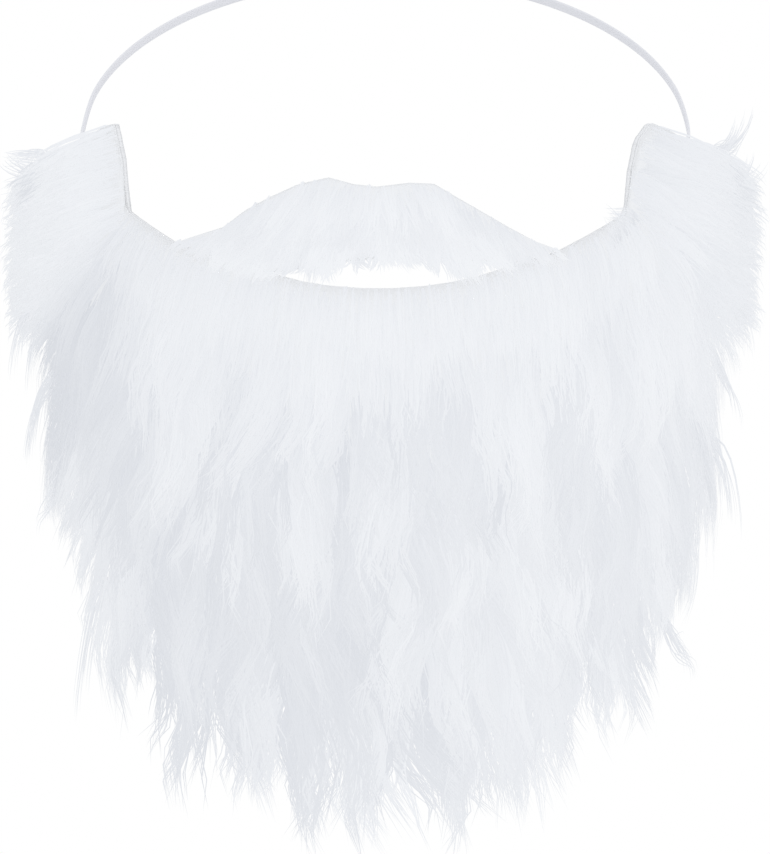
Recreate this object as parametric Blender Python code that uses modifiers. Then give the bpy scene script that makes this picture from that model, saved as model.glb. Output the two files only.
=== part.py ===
"""A fake beard of long white pile fur, bowed as it is worn.

A fur panel with two sideburn tabs goes round the face, a separate moustache strip
closes the mouth opening from above, and a narrow flat elastic is tacked to the face
side of each tab and goes round the back of the head.

The origin is the middle of the mouth line on the face side of the cloth. +X is the
right of the beard as seen from the front, -Y is its front and +Z is up. Sizes are in
metres and turns are in degrees round the face from the middle.
"""

import math
from bisect import bisect_right
from typing import NamedTuple

import bmesh
import bpy
from mathutils import Matrix, Vector

# The bow of the cloth round the face
FACE_HALF_WIDTH = 0.097
FACE_DEPTH = 0.085
PANEL_TURN = 86.0

# The cut of the fur panel
TAB_HEIGHT = 0.0475
PANEL_DROP = 0.122
CLOTH = 0.0016

# The mouth opening and the moustache strip
MOUTH_DIP = 0.0056
MOUTH_RISE = 0.0034
MOUTH_ROUNDNESS = 0.8
MOUSTACHE_HEIGHT = 0.0295
SEAM_GAP = 0.0006

# The pile
CLEARANCE = 0.0003
BED = 0.0095
BED_RIM = 0.0022
BED_RISE = 0.022
REAR_RISE = 0.005
TAB_SWELL = 0.0045
TAB_SWELL_TURN = 50.0
TAB_SWELL_BLEND = 20.0
TAB_SWELL_DROP = 0.035
TAB_SWELL_RISE = 0.040
MOUSTACHE_BED = 0.0062
MOUSTACHE_RIM = 0.0013
LOCK_WIDTH = 0.0064
LOCK_THICKNESS = 0.0042
LOCK_LENGTH = 0.054
TAB_LOCK_LENGTH = 0.021
LOCK_LIFT = 0.0125
SIDE_FLATTENING = 0.62
TUFT_REACH = 0.016
FUR_DROP = 0.176
FRINGE_SEAT = 0.016
FRINGE_LIFT = 0.0045
INNER_FRINGE = 0.93
MOUSTACHE_OVERHANG = 0.0034

# The elastic
STRAP_WIDTH = 0.003
STRAP_THICKNESS = 0.0009
STRAP_CLEARANCE = 0.0005
STRAP_HALF_SPAN = 0.0932
STRAP_SHIFT = 0.0008
STRAP_DEPTH = 0.095
STRAP_RISE = 0.0545
STRAP_START_TURN = 59.0
STRAP_LEAVE_TURN = 74.0
STRAP_START_HEIGHT = 0.0335
STRAP_LEAVE_HEIGHT = 0.0415
STRAP_REAR_RUN = 0.012
STRAP_REAR_CLIMB = 0.0055
STRAP_TURN_OVER = 0.040

# The tacks that hold the elastic
TACK_LENGTH = 0.0045
TACK_WIDTH = 0.0046
TACK_THICKNESS = 0.0006
TACK_MARGIN = 0.0015

# How finely the solids are divided
COLUMN_STEP = 5.4
SHORTEST_COLUMN = 0.35
MOUTH_STEPS = 8
PANEL_ROWS = 7
STRIP_ROWS = 3
PILE_ROWS = 5
STRAP_LAID_STEPS = 3
STRAP_LOOP_STEPS = 12
STRAP_SECTIONS = 56
SPLINE_STEPS = 12
SMALLEST_STEP = 0.00001


class Bow(NamedTuple):
    """A level section of the bow. Height is a share of PANEL_DROP, setback of FACE_DEPTH."""

    place: str
    height: float
    width: float
    depth: float
    setback: float


BOWS = (
    Bow("lock tips", -1.50, 0.83, 0.74, 0.040),
    Bow("lower edge", -1.00, 0.88, 0.80, 0.020),
    Bow("under the chin", -0.70, 0.935, 0.88, -0.015),
    Bow("chin", -0.36, 0.98, 0.96, -0.030),
    Bow("mouth line", 0.00, 1.00, 1.00, 0.000),
    Bow("moustache top", 0.25, 1.00, 1.00, 0.030),
    Bow("tab tips", 0.40, 0.99, 1.00, 0.050),
)


class TabStop(NamedTuple):
    """A corner of the tab's cut. Turn runs from notch to rear edge, rise from notch to tip."""

    place: str
    turn: float
    rise: float


LEFT_TAB = (
    TabStop("foot", 0.275, 0.29),
    TabStop("front edge", 0.295, 0.66),
    TabStop("tip", 0.36, 1.00),
    TabStop("strap", 0.66, 0.88),
    TabStop("rear", 1.00, 0.60),
)
RIGHT_TAB = (
    TabStop("foot", 0.297, 0.30),
    TabStop("front edge", 0.315, 0.60),
    TabStop("shoulder", 0.36, 0.86),
    TabStop("tip", 0.44, 1.00),
    TabStop("strap", 0.77, 0.86),
    TabStop("rear", 1.00, 0.60),
)


class Side(NamedTuple):
    """One side of the cut. Across is a share of FACE_HALF_WIDTH, height of MOUSTACHE_HEIGHT."""

    sign: float
    notch_across: float
    notch_rise: float
    corner_across: float
    corner_rise: float
    tab: tuple

    @property
    def notch(self):
        """(turn, height) of the notch beside the nose."""
        return self.sign * turn_across(self.notch_across), self.notch_rise * MOUSTACHE_HEIGHT

    @property
    def corner(self):
        """(turn, height) of the corner of the mouth."""
        return self.sign * turn_across(self.corner_across), self.corner_rise * MOUSTACHE_HEIGHT


LEFT = Side(-1.0, 0.6216, 0.3458, 0.3278, 0.0339, LEFT_TAB)
RIGHT = Side(1.0, 0.5258, 0.2644, 0.3866, 0.1220, RIGHT_TAB)


class EdgeStop(NamedTuple):
    """A point of a cut edge, as shares of the sizes that the function reading it names."""

    across: float
    height: float


LOWER_EDGE = (
    EdgeStop(0.00, 1.000),
    EdgeStop(0.20, 0.985),
    EdgeStop(0.35, 0.930),
    EdgeStop(0.50, 0.830),
    EdgeStop(0.65, 0.690),
    EdgeStop(0.80, 0.500),
    EdgeStop(0.92, 0.300),
    EdgeStop(1.00, 0.080),
)

MOUSTACHE_TOP = (
    EdgeStop(-0.77, 0.51),
    EdgeStop(-0.66, 0.68),
    EdgeStop(-0.54, 0.81),
    EdgeStop(-0.41, 0.93),
    EdgeStop(-0.26, 1.00),
    EdgeStop(-0.14, 0.93),
    EdgeStop(-0.03, 0.905),
    EdgeStop(0.15, 0.945),
    EdgeStop(0.29, 0.935),
    EdgeStop(0.43, 0.79),
    EdgeStop(0.57, 0.65),
    EdgeStop(0.72, 0.50),
    EdgeStop(0.86, 0.37),
)


MOUTH_FRINGE = (
    EdgeStop(0.00, 0.00),
    EdgeStop(0.09, 0.45),
    EdgeStop(0.17, 0.80),
    EdgeStop(0.24, 0.70),
    EdgeStop(0.31, 0.95),
    EdgeStop(0.36, 0.25),
    EdgeStop(0.42, 0.45),
    EdgeStop(0.50, 0.90),
    EdgeStop(0.57, 0.75),
    EdgeStop(0.66, 1.00),
    EdgeStop(0.76, 0.75),
    EdgeStop(0.88, 0.50),
    EdgeStop(1.00, 0.00),
)


class LockRow(NamedTuple):
    """A row of locks. Up is a share of each column's height, sizes are shares of the lock's."""

    up: float
    count: int
    length: float
    width: float
    lift: float


LOCK_ROWS = (
    LockRow(0.86, 14, 0.64, 0.90, 0.45),
    LockRow(0.72, 17, 0.88, 1.00, 0.72),
    LockRow(0.55, 19, 1.00, 1.08, 0.95),
    LockRow(0.38, 19, 1.05, 1.12, 1.00),
    LockRow(0.21, 18, 1.00, 1.08, 0.90),
)


class FringeLock(NamedTuple):
    """A lock of the lower outline. Root and tip are shares of FACE_HALF_WIDTH, drop of FUR_DROP."""

    root: float
    tip: float
    drop: float
    width: float


FRINGE = (
    FringeLock(-0.84, -0.92, 0.585, 0.95),
    FringeLock(-0.77, -0.86, 0.630, 1.00),
    FringeLock(-0.70, -0.79, 0.680, 1.00),
    FringeLock(-0.63, -0.71, 0.760, 1.00),
    FringeLock(-0.55, -0.63, 0.850, 1.00),
    FringeLock(-0.47, -0.52, 0.930, 1.10),
    FringeLock(-0.38, -0.42, 0.900, 1.00),
    FringeLock(-0.27, -0.27, 0.985, 1.30),
    FringeLock(-0.16, -0.18, 0.950, 1.10),
    FringeLock(-0.05, -0.08, 1.000, 1.20),
    FringeLock(0.07, 0.06, 0.990, 1.20),
    FringeLock(0.18, 0.17, 0.940, 1.10),
    FringeLock(0.28, 0.26, 0.980, 1.30),
    FringeLock(0.38, 0.39, 0.870, 1.00),
    FringeLock(0.47, 0.49, 0.910, 1.10),
    FringeLock(0.56, 0.61, 0.860, 1.00),
    FringeLock(0.64, 0.70, 0.790, 1.00),
    FringeLock(0.71, 0.78, 0.700, 1.00),
    FringeLock(0.78, 0.85, 0.640, 1.00),
    FringeLock(0.85, 0.92, 0.590, 0.95),
)


class Tuft(NamedTuple):
    """A lock that stands out from a tab. Rises are shares of TAB_HEIGHT, turns of PANEL_TURN."""

    root_turn: float
    root_rise: float
    tip_turn: float
    tip_rise: float
    reach: float


TUFTS = (
    Tuft(0.79, 0.80, 0.82, 0.88, 0.72),
    Tuft(0.88, 0.72, 0.92, 0.84, 0.90),
    Tuft(0.94, 0.58, 0.98, 0.70, 1.00),
    Tuft(0.82, 0.58, 0.86, 0.56, 0.84),
    Tuft(0.92, 0.36, 0.97, 0.44, 1.00),
    Tuft(0.84, 0.36, 0.88, 0.24, 0.88),
    Tuft(0.94, 0.14, 0.99, 0.16, 0.98),
    Tuft(0.85, 0.12, 0.89, -0.06, 0.88),
    Tuft(0.93, -0.10, 0.98, -0.20, 0.92),
    Tuft(0.85, -0.14, 0.89, -0.38, 0.82),
)


class LockSection(NamedTuple):
    """A section of a lock, as shares of its length, width, thickness and lift."""

    along: float
    width: float
    thickness: float
    lift: float


LOCK_SECTIONS = (
    LockSection(0.00, 0.50, 0.50, 0.00),
    LockSection(0.30, 1.00, 1.00, 0.46),
    LockSection(0.60, 0.82, 0.80, 0.88),
)
LOCK_TIP_LIFT = 0.98
TUFT_TIP_LIFT = 1.30
LOCK_BEND = 1.4
LOCK_SIDES = 4
SHORTEST_EDGE = 0.00002

# How the locks sit in the bed, as shares of its thickness
LOCK_SEAT = 0.5
FRINGE_SEAT_SHARE = 0.62
INNER_SEAT_SHARE = 0.40

# Widths of the locks of the outline and of the tabs, as shares of LOCK_WIDTH
FRINGE_BROADENING = 1.15
TUFT_WIDTH = 0.95

# How the locks vary: turns in degrees, a height in metres and a share of the length
LOCK_SWING = 1.6
TURN_SWAY = 0.9
HEIGHT_SWAY = 0.003
LENGTH_SWAY = 0.12
LEAN_SWAY = 1.6
ROW_MARGIN = 5.0
SIDE_LEAN = 5.0
TAB_LEAN = 3.0
TAB_LOCKS_TURN = 40.0
TAB_LOCKS_BLEND = 16.0
TAB_LOCKS_DROP = 0.012
TAB_LOCKS_RISE = 0.625
FLAT_SIDE_TURN = 30.0
FLAT_SIDE_BLEND = 40.0


class Lock(NamedTuple):
    """One lock. Root and tip are (turn, height), tip_lift is a share of the lift."""

    root: tuple
    tip: tuple
    foot: float
    lift: float
    width: float
    thickness: float
    tip_lift: float = LOCK_TIP_LIFT
    facing: Vector | None = None


def ease(share):
    """Smooth step from 0 to 1."""
    share = min(1.0, max(0.0, share))
    return share * share * (3.0 - 2.0 * share)


def read_curve(points, at):
    """Value at a place on the smooth curve through sorted (place, value) pairs."""
    places = [place for place, _ in points]
    if at <= places[0]:
        return points[0][1]
    if at >= places[-1]:
        return points[-1][1]
    i = bisect_right(places, at) - 1
    (x0, y0), (x1, y1) = points[i], points[i + 1]
    before = points[max(i - 1, 0)]
    after = points[min(i + 2, len(points) - 1)]
    slope0 = (y1 - before[1]) / (x1 - before[0])
    slope1 = (after[1] - y0) / (after[0] - x0)
    step = x1 - x0
    t = (at - x0) / step
    return (
        (2 * t**3 - 3 * t**2 + 1) * y0
        + (t**3 - 2 * t**2 + t) * step * slope0
        + (3 * t**2 - 2 * t**3) * y1
        + (t**3 - t**2) * step * slope1
    )


def read_line(points, at):
    """Value at a place on the straight runs between sorted (place, value) pairs."""
    places = [place for place, _ in points]
    i = min(max(bisect_right(places, at) - 1, 0), len(points) - 2)
    (x0, y0), (x1, y1) = points[i], points[i + 1]
    return y0 + (y1 - y0) * (min(max(at, x0), x1) - x0) / (x1 - x0)


def bow_at(height):
    """Half width, depth and setback of the bow at a height above the mouth line."""
    share = height / PANEL_DROP
    width = read_curve([(b.height, b.width) for b in BOWS], share)
    depth = read_curve([(b.height, b.depth) for b in BOWS], share)
    setback = read_curve([(b.height, b.setback) for b in BOWS], share)
    return width * FACE_HALF_WIDTH, depth * FACE_DEPTH, setback * FACE_DEPTH


def face_normal(turn, height):
    """Level direction away from the face."""
    half_width, depth, _ = bow_at(height)
    angle = math.radians(turn)
    return Vector((depth * math.sin(angle), -half_width * math.cos(angle), 0.0)).normalized()


def face_point(turn, height, offset=0.0):
    """Point at a turn and height, this far out from the face side of the cloth."""
    half_width, depth, setback = bow_at(height)
    angle = math.radians(turn)
    x = half_width * math.sin(angle)
    y = depth * (1.0 - math.cos(angle)) + setback
    return Vector((x, y, height)) + face_normal(turn, height) * offset


def turn_across(share):
    """Turn at this share of the bow's half width from the middle plane."""
    return math.degrees(math.asin(max(-0.999, min(0.999, share))))


def tab_outline(side):
    """(turn, height) corners of one side's tab, from the notch to the rear edge."""
    notch_turn, notch_height = side.notch
    corners = [side.notch]
    for stop in side.tab:
        turn = notch_turn + stop.turn * (side.sign * PANEL_TURN - notch_turn)
        corners.append((turn, notch_height + stop.rise * (TAB_HEIGHT - notch_height)))
    return corners


def mouth_edge(bulge):
    """(turn, height) points from one corner of the mouth to the other, bulging up or down."""
    points = []
    for i in range(MOUTH_STEPS + 1):
        share = i / MOUTH_STEPS
        turn = LEFT.corner[0] + (RIGHT.corner[0] - LEFT.corner[0]) * share
        height = LEFT.corner[1] + (RIGHT.corner[1] - LEFT.corner[1]) * share
        points.append((turn, height + bulge * math.sin(math.pi * share) ** MOUTH_ROUNDNESS))
    return points


def above_seam(point):
    """A (turn, height) point of the panel's edge, moved up over the seam's gap."""
    return point[0], point[1] + SEAM_GAP


def panel_top():
    """(turn, height) points of the panel's upper edge, from the left rear to the right rear."""
    return sorted(tab_outline(LEFT)) + mouth_edge(-MOUTH_DIP) + tab_outline(RIGHT)


def panel_bottom():
    """(turn, height) points of the panel's lower edge."""
    half = [(stop.across * PANEL_TURN, -stop.height * PANEL_DROP) for stop in LOWER_EDGE]
    return [(-turn, height) for turn, height in reversed(half[1:])] + half


def strip_top():
    """(turn, height) points of the moustache's upper edge, from notch to notch."""
    points = [above_seam(LEFT.notch)]
    for stop in MOUSTACHE_TOP:
        side = LEFT if stop.across < 0 else RIGHT
        turn = turn_across(stop.across * side.notch_across)
        points.append((turn, stop.height * MOUSTACHE_HEIGHT))
    return points + [above_seam(RIGHT.notch)]


def strip_bottom():
    """(turn, height) points of the moustache's lower edge: a seam, the mouth and a seam."""
    first, *between, last = mouth_edge(MOUTH_RISE)
    ends = above_seam(first), above_seam(last)
    return [above_seam(LEFT.notch), ends[0], *between, ends[1], above_seam(RIGHT.notch)]


def strip_pile_bottom():
    """(turn, height) points of the moustache pile's lower edge, which hangs over the mouth."""
    left, *cloth, right = strip_bottom()
    points = [left]
    for stop in MOUTH_FRINGE:
        turn = cloth[0][0] + stop.across * (cloth[-1][0] - cloth[0][0])
        points.append((turn, read_line(cloth, turn) - stop.height * MOUSTACHE_OVERHANG))
    return points + [right]


TOP_LINE = panel_top()
BOTTOM_LINE = panel_bottom()
STRIP_TOP_LINE = strip_top()
STRIP_BOTTOM_LINE = strip_bottom()
STRIP_PILE_LINE = strip_pile_bottom()


def bed_thickness(turn, height):
    """Thickness of the dense foot of the pile: thin along the cut edges, fullest on the tabs."""
    from_top = read_line(TOP_LINE, turn) - height
    from_rear = math.radians(PANEL_TURN - abs(turn)) * FACE_HALF_WIDTH
    share = min(ease(from_top / BED_RISE), ease((from_rear + REAR_RISE) / (2.0 * REAR_RISE)))
    rearward = ease((abs(turn) - TAB_SWELL_TURN) / TAB_SWELL_BLEND)
    upward = ease((height + TAB_SWELL_DROP) / TAB_SWELL_RISE)
    return BED_RIM + (BED + TAB_SWELL * rearward * upward - BED_RIM) * share


def strip_bed_thickness(turn, height):
    """Thickness of the moustache's foot of the pile, round from edge to edge."""
    top = read_line(STRIP_TOP_LINE, turn)
    bottom = read_line(STRIP_PILE_LINE, turn)
    span = max(top - bottom, SMALLEST_STEP)
    share = (height - bottom) / span
    roundness = math.sqrt(max(0.0, 4.0 * share * (1.0 - share)))
    full = BED_RIM + (MOUSTACHE_BED - BED_RIM) * ease(2.0 * span / MOUSTACHE_HEIGHT)
    return MOUSTACHE_RIM + (full - MOUSTACHE_RIM) * roundness


def columns_between(*lines):
    """Turns that hold every corner of the lines, with no step over COLUMN_STEP."""
    corners = sorted({round(turn, 6) for line in lines for turn, _ in line})
    kept = [corners[0]]
    for turn in corners[1:]:
        if turn - kept[-1] < SHORTEST_COLUMN and turn != corners[-1]:
            continue
        steps = max(1, math.ceil((turn - kept[-1]) / COLUMN_STEP))
        start = kept[-1]
        kept += [start + (turn - start) * (i + 1) / steps for i in range(steps)]
    return kept


def new_object(name, bm, collection, material=None):
    """Makes the bmesh an object of a collection."""
    mesh = bpy.data.meshes.new(name)
    bm.to_mesh(mesh)
    bm.free()
    obj = bpy.data.objects.new(name, mesh)
    collection.objects.link(obj)
    if material:
        mesh.materials.append(material)
    return obj


def cloth_sheet(bottom_line, top_line, rows, offset, thickness_at=None):
    """An open sheet on the bow between two edges, from a grid moved into place.

    Where a function gives the wall, the deform layer holds it as a share of the fullest pile.
    """
    turns = columns_between(bottom_line, top_line)
    last = len(turns) - 1
    bm = bmesh.new()
    bmesh.ops.create_grid(bm, x_segments=last, y_segments=rows, size=1.0)
    share_layer = bm.verts.layers.deform.verify()
    for vert in bm.verts:
        turn = turns[round((vert.co.x + 1.0) / 2.0 * last)]
        low, high = read_line(bottom_line, turn), read_line(top_line, turn)
        height = low + (high - low) * (vert.co.y + 1.0) / 2.0
        vert.co = face_point(turn, height, offset)
        if thickness_at:
            vert[share_layer][0] = thickness_at(turn, height) / (BED + TAB_SWELL)
    bmesh.ops.remove_doubles(bm, verts=bm.verts, dist=SMALLEST_STEP)
    return bm


def loft(bm, rings, tip=None):
    """Adds a closed tube through rings of points, with flat ends or a pointed one."""
    loops = [[bm.verts.new(point) for point in ring] for ring in rings]
    sides = len(loops[0])
    for lower, upper in zip(loops, loops[1:]):
        for i in range(sides):
            j = (i + 1) % sides
            bm.faces.new((lower[i], lower[j], upper[j], upper[i]))
    bm.faces.new(list(reversed(loops[0])))
    if tip is None:
        bm.faces.new(loops[-1])
        return
    point = bm.verts.new(tip)
    for i in range(sides):
        bm.faces.new((loops[-1][i], loops[-1][(i + 1) % sides], point))


def lock_rings(centres, widths, thicknesses, outwards):
    """Rings of a flattened lock along its centre line."""
    rings = []
    for i, centre in enumerate(centres[:-1]):
        ahead = (centres[i + 1] - centres[max(i - 1, 0)]).normalized()
        side = ahead.cross(outwards[i]).normalized()
        out = side.cross(ahead).normalized()
        ring = []
        for k in range(LOCK_SIDES):
            angle = 2.0 * math.pi * k / LOCK_SIDES
            ring.append(
                centre
                + side * widths[i] * math.cos(angle)
                + out * thicknesses[i] * math.sin(angle)
            )
        rings.append(ring)
    return rings


def make_lock(name, collection, lock):
    """One lock from its root to its tip, swung aside and out from the cloth."""
    swing = sway(len(collection.objects), LOCK_SWING)
    (root_turn, root_height), (tip_turn, tip_height) = lock.root, lock.tip
    centres, widths, thicknesses, outwards = [], [], [], []
    for section in LOCK_SECTIONS:
        turn = root_turn + (tip_turn - root_turn) * section.along**LOCK_BEND
        turn += swing * math.sin(math.pi * section.along)
        height = root_height + (tip_height - root_height) * section.along
        centres.append(face_point(turn, height, lock.foot + lock.lift * section.lift))
        widths.append(lock.width * section.width)
        thicknesses.append(lock.thickness * section.thickness)
        outwards.append(lock.facing or face_normal(turn, height))
    centres.append(face_point(tip_turn, tip_height, lock.foot + lock.lift * lock.tip_lift))
    bm = bmesh.new()
    loft(bm, lock_rings(centres, widths, thicknesses, outwards), centres[-1])
    bmesh.ops.recalc_face_normals(bm, faces=bm.faces)
    return new_object(name, bm, collection)


def sway(number, reach):
    """Small repeatable shift for the lock with this number, between minus and plus reach."""
    return reach * math.sin(number * 2.399963 + 0.7 * math.sin(number * 1.7))


def panel_locks(collection):
    """Rows of locks over the panel, each row over the one below it."""
    number = 0
    for index, row in enumerate(LOCK_ROWS):
        for i in range(row.count):
            number += 1
            stagger = 0.25 + 0.25 * (index % 2)
            share = (i + stagger) / (row.count - 0.5) * 2.0 - 1.0
            turn = share * (PANEL_TURN - ROW_MARGIN) + sway(number, TURN_SWAY)
            low, high = read_line(BOTTOM_LINE, turn), read_line(TOP_LINE, turn)
            height = low + (high - low) * row.up + sway(number + 5, HEIGHT_SWAY)
            tab_share = ease((height + TAB_LOCKS_DROP) / (TAB_LOCKS_RISE * TAB_HEIGHT))
            tab_share *= ease((abs(turn) - TAB_LOCKS_TURN) / TAB_LOCKS_BLEND)
            full = LOCK_LENGTH * row.length * (1.0 + sway(number + 9, LENGTH_SWAY))
            length = full + (TAB_LOCK_LENGTH - full) * tab_share
            lean = share * (SIDE_LEAN + TAB_LEAN * tab_share) + sway(number + 3, LEAN_SWAY)
            flat = SIDE_FLATTENING * ease((abs(turn) - FLAT_SIDE_TURN) / FLAT_SIDE_BLEND)
            seat = LOCK_SEAT * bed_thickness(turn, height)
            lock = Lock(
                root=(turn, height),
                tip=(turn + lean, height - length),
                foot=CLOTH + CLEARANCE + seat,
                lift=LOCK_LIFT * row.lift * (1.0 - flat),
                width=LOCK_WIDTH * row.width,
                thickness=min(LOCK_THICKNESS, seat),
            )
            make_lock(f"lock_{number:03d}", collection, lock)


def fringe_locks(collection):
    """The locks that hang past the lower edge and make the outline, and shorter ones behind them."""
    layers = [(lock, FRINGE_SEAT_SHARE * BED) for lock in FRINGE]
    for lock, after in zip(FRINGE, FRINGE[1:]):
        between = FringeLock(
            0.5 * (lock.root + after.root),
            0.5 * (lock.tip + after.tip),
            INNER_FRINGE * min(lock.drop, after.drop),
            FRINGE_BROADENING * lock.width,
        )
        layers.append((between, INNER_SEAT_SHARE * BED))
    for i, (fringe, seat) in enumerate(layers):
        root_turn = turn_across(fringe.root)
        tip_height = -fringe.drop * FUR_DROP
        half_width, _, _ = bow_at(tip_height)
        lock = Lock(
            root=(root_turn, read_line(BOTTOM_LINE, root_turn) + FRINGE_SEAT),
            tip=(turn_across(fringe.tip * FACE_HALF_WIDTH / half_width), tip_height),
            foot=CLOTH + CLEARANCE + seat,
            lift=FRINGE_LIFT,
            width=FRINGE_BROADENING * LOCK_WIDTH * fringe.width,
            thickness=min(LOCK_THICKNESS, seat - CLEARANCE),
        )
        make_lock(f"fringe_{i + 1:02d}", collection, lock)


def tab_tufts(collection):
    """The tufts that stand out sideways from both tabs."""
    for label, sign in (("left", -1.0), ("right", 1.0)):
        for i, tuft in enumerate(TUFTS):
            root_turn = sign * tuft.root_turn * PANEL_TURN
            root_height = tuft.root_rise * TAB_HEIGHT
            seat = LOCK_SEAT * bed_thickness(root_turn, root_height)
            lock = Lock(
                root=(root_turn, root_height),
                tip=(sign * tuft.tip_turn * PANEL_TURN, tuft.tip_rise * TAB_HEIGHT),
                foot=CLOTH + CLEARANCE + seat,
                lift=tuft.reach * (TUFT_REACH - seat) / TUFT_TIP_LIFT,
                width=TUFT_WIDTH * LOCK_WIDTH,
                thickness=min(LOCK_THICKNESS, seat),
                tip_lift=TUFT_TIP_LIFT,
                facing=Vector((0.0, 0.0, 1.0)),
            )
            make_lock(f"tuft_{label}_{i + 1}", collection, lock)


def fuse(obj, locks):
    """Joins every lock of a collection to the object, with no air or flake left between them."""
    union = obj.modifiers.new("fuse locks", "BOOLEAN")
    union.operation = "UNION"
    union.operand_type = "COLLECTION"
    union.collection = locks
    union.solver = "EXACT"
    fused = obj.evaluated_get(bpy.context.evaluated_depsgraph_get())
    bm = bmesh.new()
    bm.from_mesh(fused.to_mesh())
    fused.to_mesh_clear()
    bmesh.ops.triangulate(bm, faces=bm.faces)
    merge_short_edges(bm)
    turn_flat_triangles(bm)
    merge_short_edges(bm)
    shells = sorted(shells_of(bm), key=volume_of)
    for shell in shells[:-1]:
        bmesh.ops.delete(bm, geom=shell, context="FACES")
    obj.modifiers.clear()
    obj.vertex_groups.clear()
    bm.to_mesh(obj.data)
    bm.free()


def neighbours(vert):
    """The vertices that share an edge with this one."""
    return {edge.other_vert(vert) for edge in vert.link_edges}


def merge_short_edges(bm):
    """Merges the ends of the shortest edges of a triangle mesh, where the surface stays closed."""
    for edge in [edge for edge in bm.edges if edge.calc_length() < SHORTEST_EDGE]:
        if not edge.is_valid:
            continue
        first, second = edge.verts
        if len(neighbours(first) & neighbours(second)) == 2:
            middle = 0.5 * (first.co + second.co)
            bmesh.ops.pointmerge(bm, verts=[first, second], merge_co=middle)


def turn_flat_triangles(bm):
    """Turns the longest edge of each triangle that is almost a line, if the surface stays closed."""
    for face in list(bm.faces):
        if not face.is_valid:
            continue
        longest = max(face.edges, key=lambda edge: edge.calc_length())
        if 2.0 * face.calc_area() > SHORTEST_EDGE * longest.calc_length():
            continue
        first, second = (
            next(vert for vert in side.verts if vert not in longest.verts)
            for side in longest.link_faces
        )
        if first != second and second not in neighbours(first):
            bmesh.utils.edge_rotate(longest, False)


def shells_of(bm):
    """The faces of each closed surface in the bmesh."""
    left = set(bm.faces)
    shells = []
    while left:
        shell = []
        waiting = [left.pop()]
        while waiting:
            face = waiting.pop()
            shell.append(face)
            for edge in face.edges:
                for neighbour in edge.link_faces:
                    if neighbour in left:
                        left.remove(neighbour)
                        waiting.append(neighbour)
        shells.append(shell)
    return shells


def volume_of(shell):
    """Volume inside a closed set of faces, below zero where they face inwards."""
    volume = 0.0
    for face in shell:
        corners = [vert.co for vert in face.verts]
        for second, third in zip(corners[1:], corners[2:]):
            volume += corners[0].dot(second.cross(third)) / 6.0
    return volume


def strap_route():
    """Middle line of the elastic from one tack to the other."""
    lay = -(STRAP_CLEARANCE + 0.5 * STRAP_THICKNESS)
    laid = []
    for i in range(STRAP_LAID_STEPS + 1):
        share = i / STRAP_LAID_STEPS
        turn = STRAP_START_TURN + (STRAP_LEAVE_TURN - STRAP_START_TURN) * share
        height = STRAP_START_HEIGHT + (STRAP_LEAVE_HEIGHT - STRAP_START_HEIGHT) * share
        laid.append(face_point(turn, height, lay))
    start_y = laid[-1].y + STRAP_REAR_RUN
    start_z = laid[-1].z + STRAP_REAR_CLIMB
    points = [Vector((-point.x, point.y, point.z)) for point in laid]
    for i in range(STRAP_LOOP_STEPS + 1):
        angle = math.pi * i / STRAP_LOOP_STEPS
        x = STRAP_SHIFT - STRAP_HALF_SPAN * math.cos(angle)
        y = start_y + STRAP_DEPTH * math.sin(angle)
        z = start_z + STRAP_RISE * math.sin(angle)
        points.append(Vector((x, y, z)))
    return points + list(reversed(laid))


def smooth_points(points, count):
    """Evenly spaced points on the smooth curve through a few."""
    fine = []
    for i in range(len(points) - 1):
        p0, p1 = points[max(i - 1, 0)], points[i]
        p2, p3 = points[i + 1], points[min(i + 2, len(points) - 1)]
        for k in range(SPLINE_STEPS):
            t = k / SPLINE_STEPS
            linear = (p2 - p0) * t
            square = (2 * p0 - 5 * p1 + 4 * p2 - p3) * t**2
            cubic = (3 * p1 - p0 - 3 * p2 + p3) * t**3
            fine.append(0.5 * (2 * p1 + linear + square + cubic))
    fine.append(points[-1])
    travelled = [0.0]
    for a, b in zip(fine, fine[1:]):
        travelled.append(travelled[-1] + (b - a).length)
    even = []
    for k in range(count):
        want = travelled[-1] * k / (count - 1)
        i = min(bisect_right(travelled, want) - 1, len(fine) - 2)
        share = (want - travelled[i]) / (travelled[i + 1] - travelled[i])
        even.append(fine[i].lerp(fine[i + 1], share))
    return even


def make_strap(collection, material):
    """The flat elastic: it lies on the tabs, then turns its flat side to lean with the loop."""
    line = smooth_points(strap_route(), STRAP_SECTIONS)
    climb = math.atan2(STRAP_RISE, STRAP_DEPTH)
    laid = math.radians(STRAP_LEAVE_TURN - STRAP_START_TURN) * FACE_HALF_WIDTH
    step = (line[1] - line[0]).length
    rings = []
    for i, point in enumerate(line):
        along = min(i, len(line) - 1 - i) * step
        tilt = climb * ease((along - laid) / STRAP_TURN_OVER)
        upright = Vector((0.0, -math.sin(tilt), math.cos(tilt)))
        ahead = (line[min(i + 1, len(line) - 1)] - line[max(i - 1, 0)]).normalized()
        wide = (upright - ahead * upright.dot(ahead)).normalized() * 0.5 * STRAP_WIDTH
        thick = ahead.cross(wide).normalized() * 0.5 * STRAP_THICKNESS
        rings.append([point + wide + thick, point + wide - thick,
                      point - wide - thick, point - wide + thick])
    bm = bmesh.new()
    loft(bm, rings)
    bmesh.ops.recalc_face_normals(bm, faces=bm.faces)
    return new_object("elastic_strap", bm, collection, material)


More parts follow.
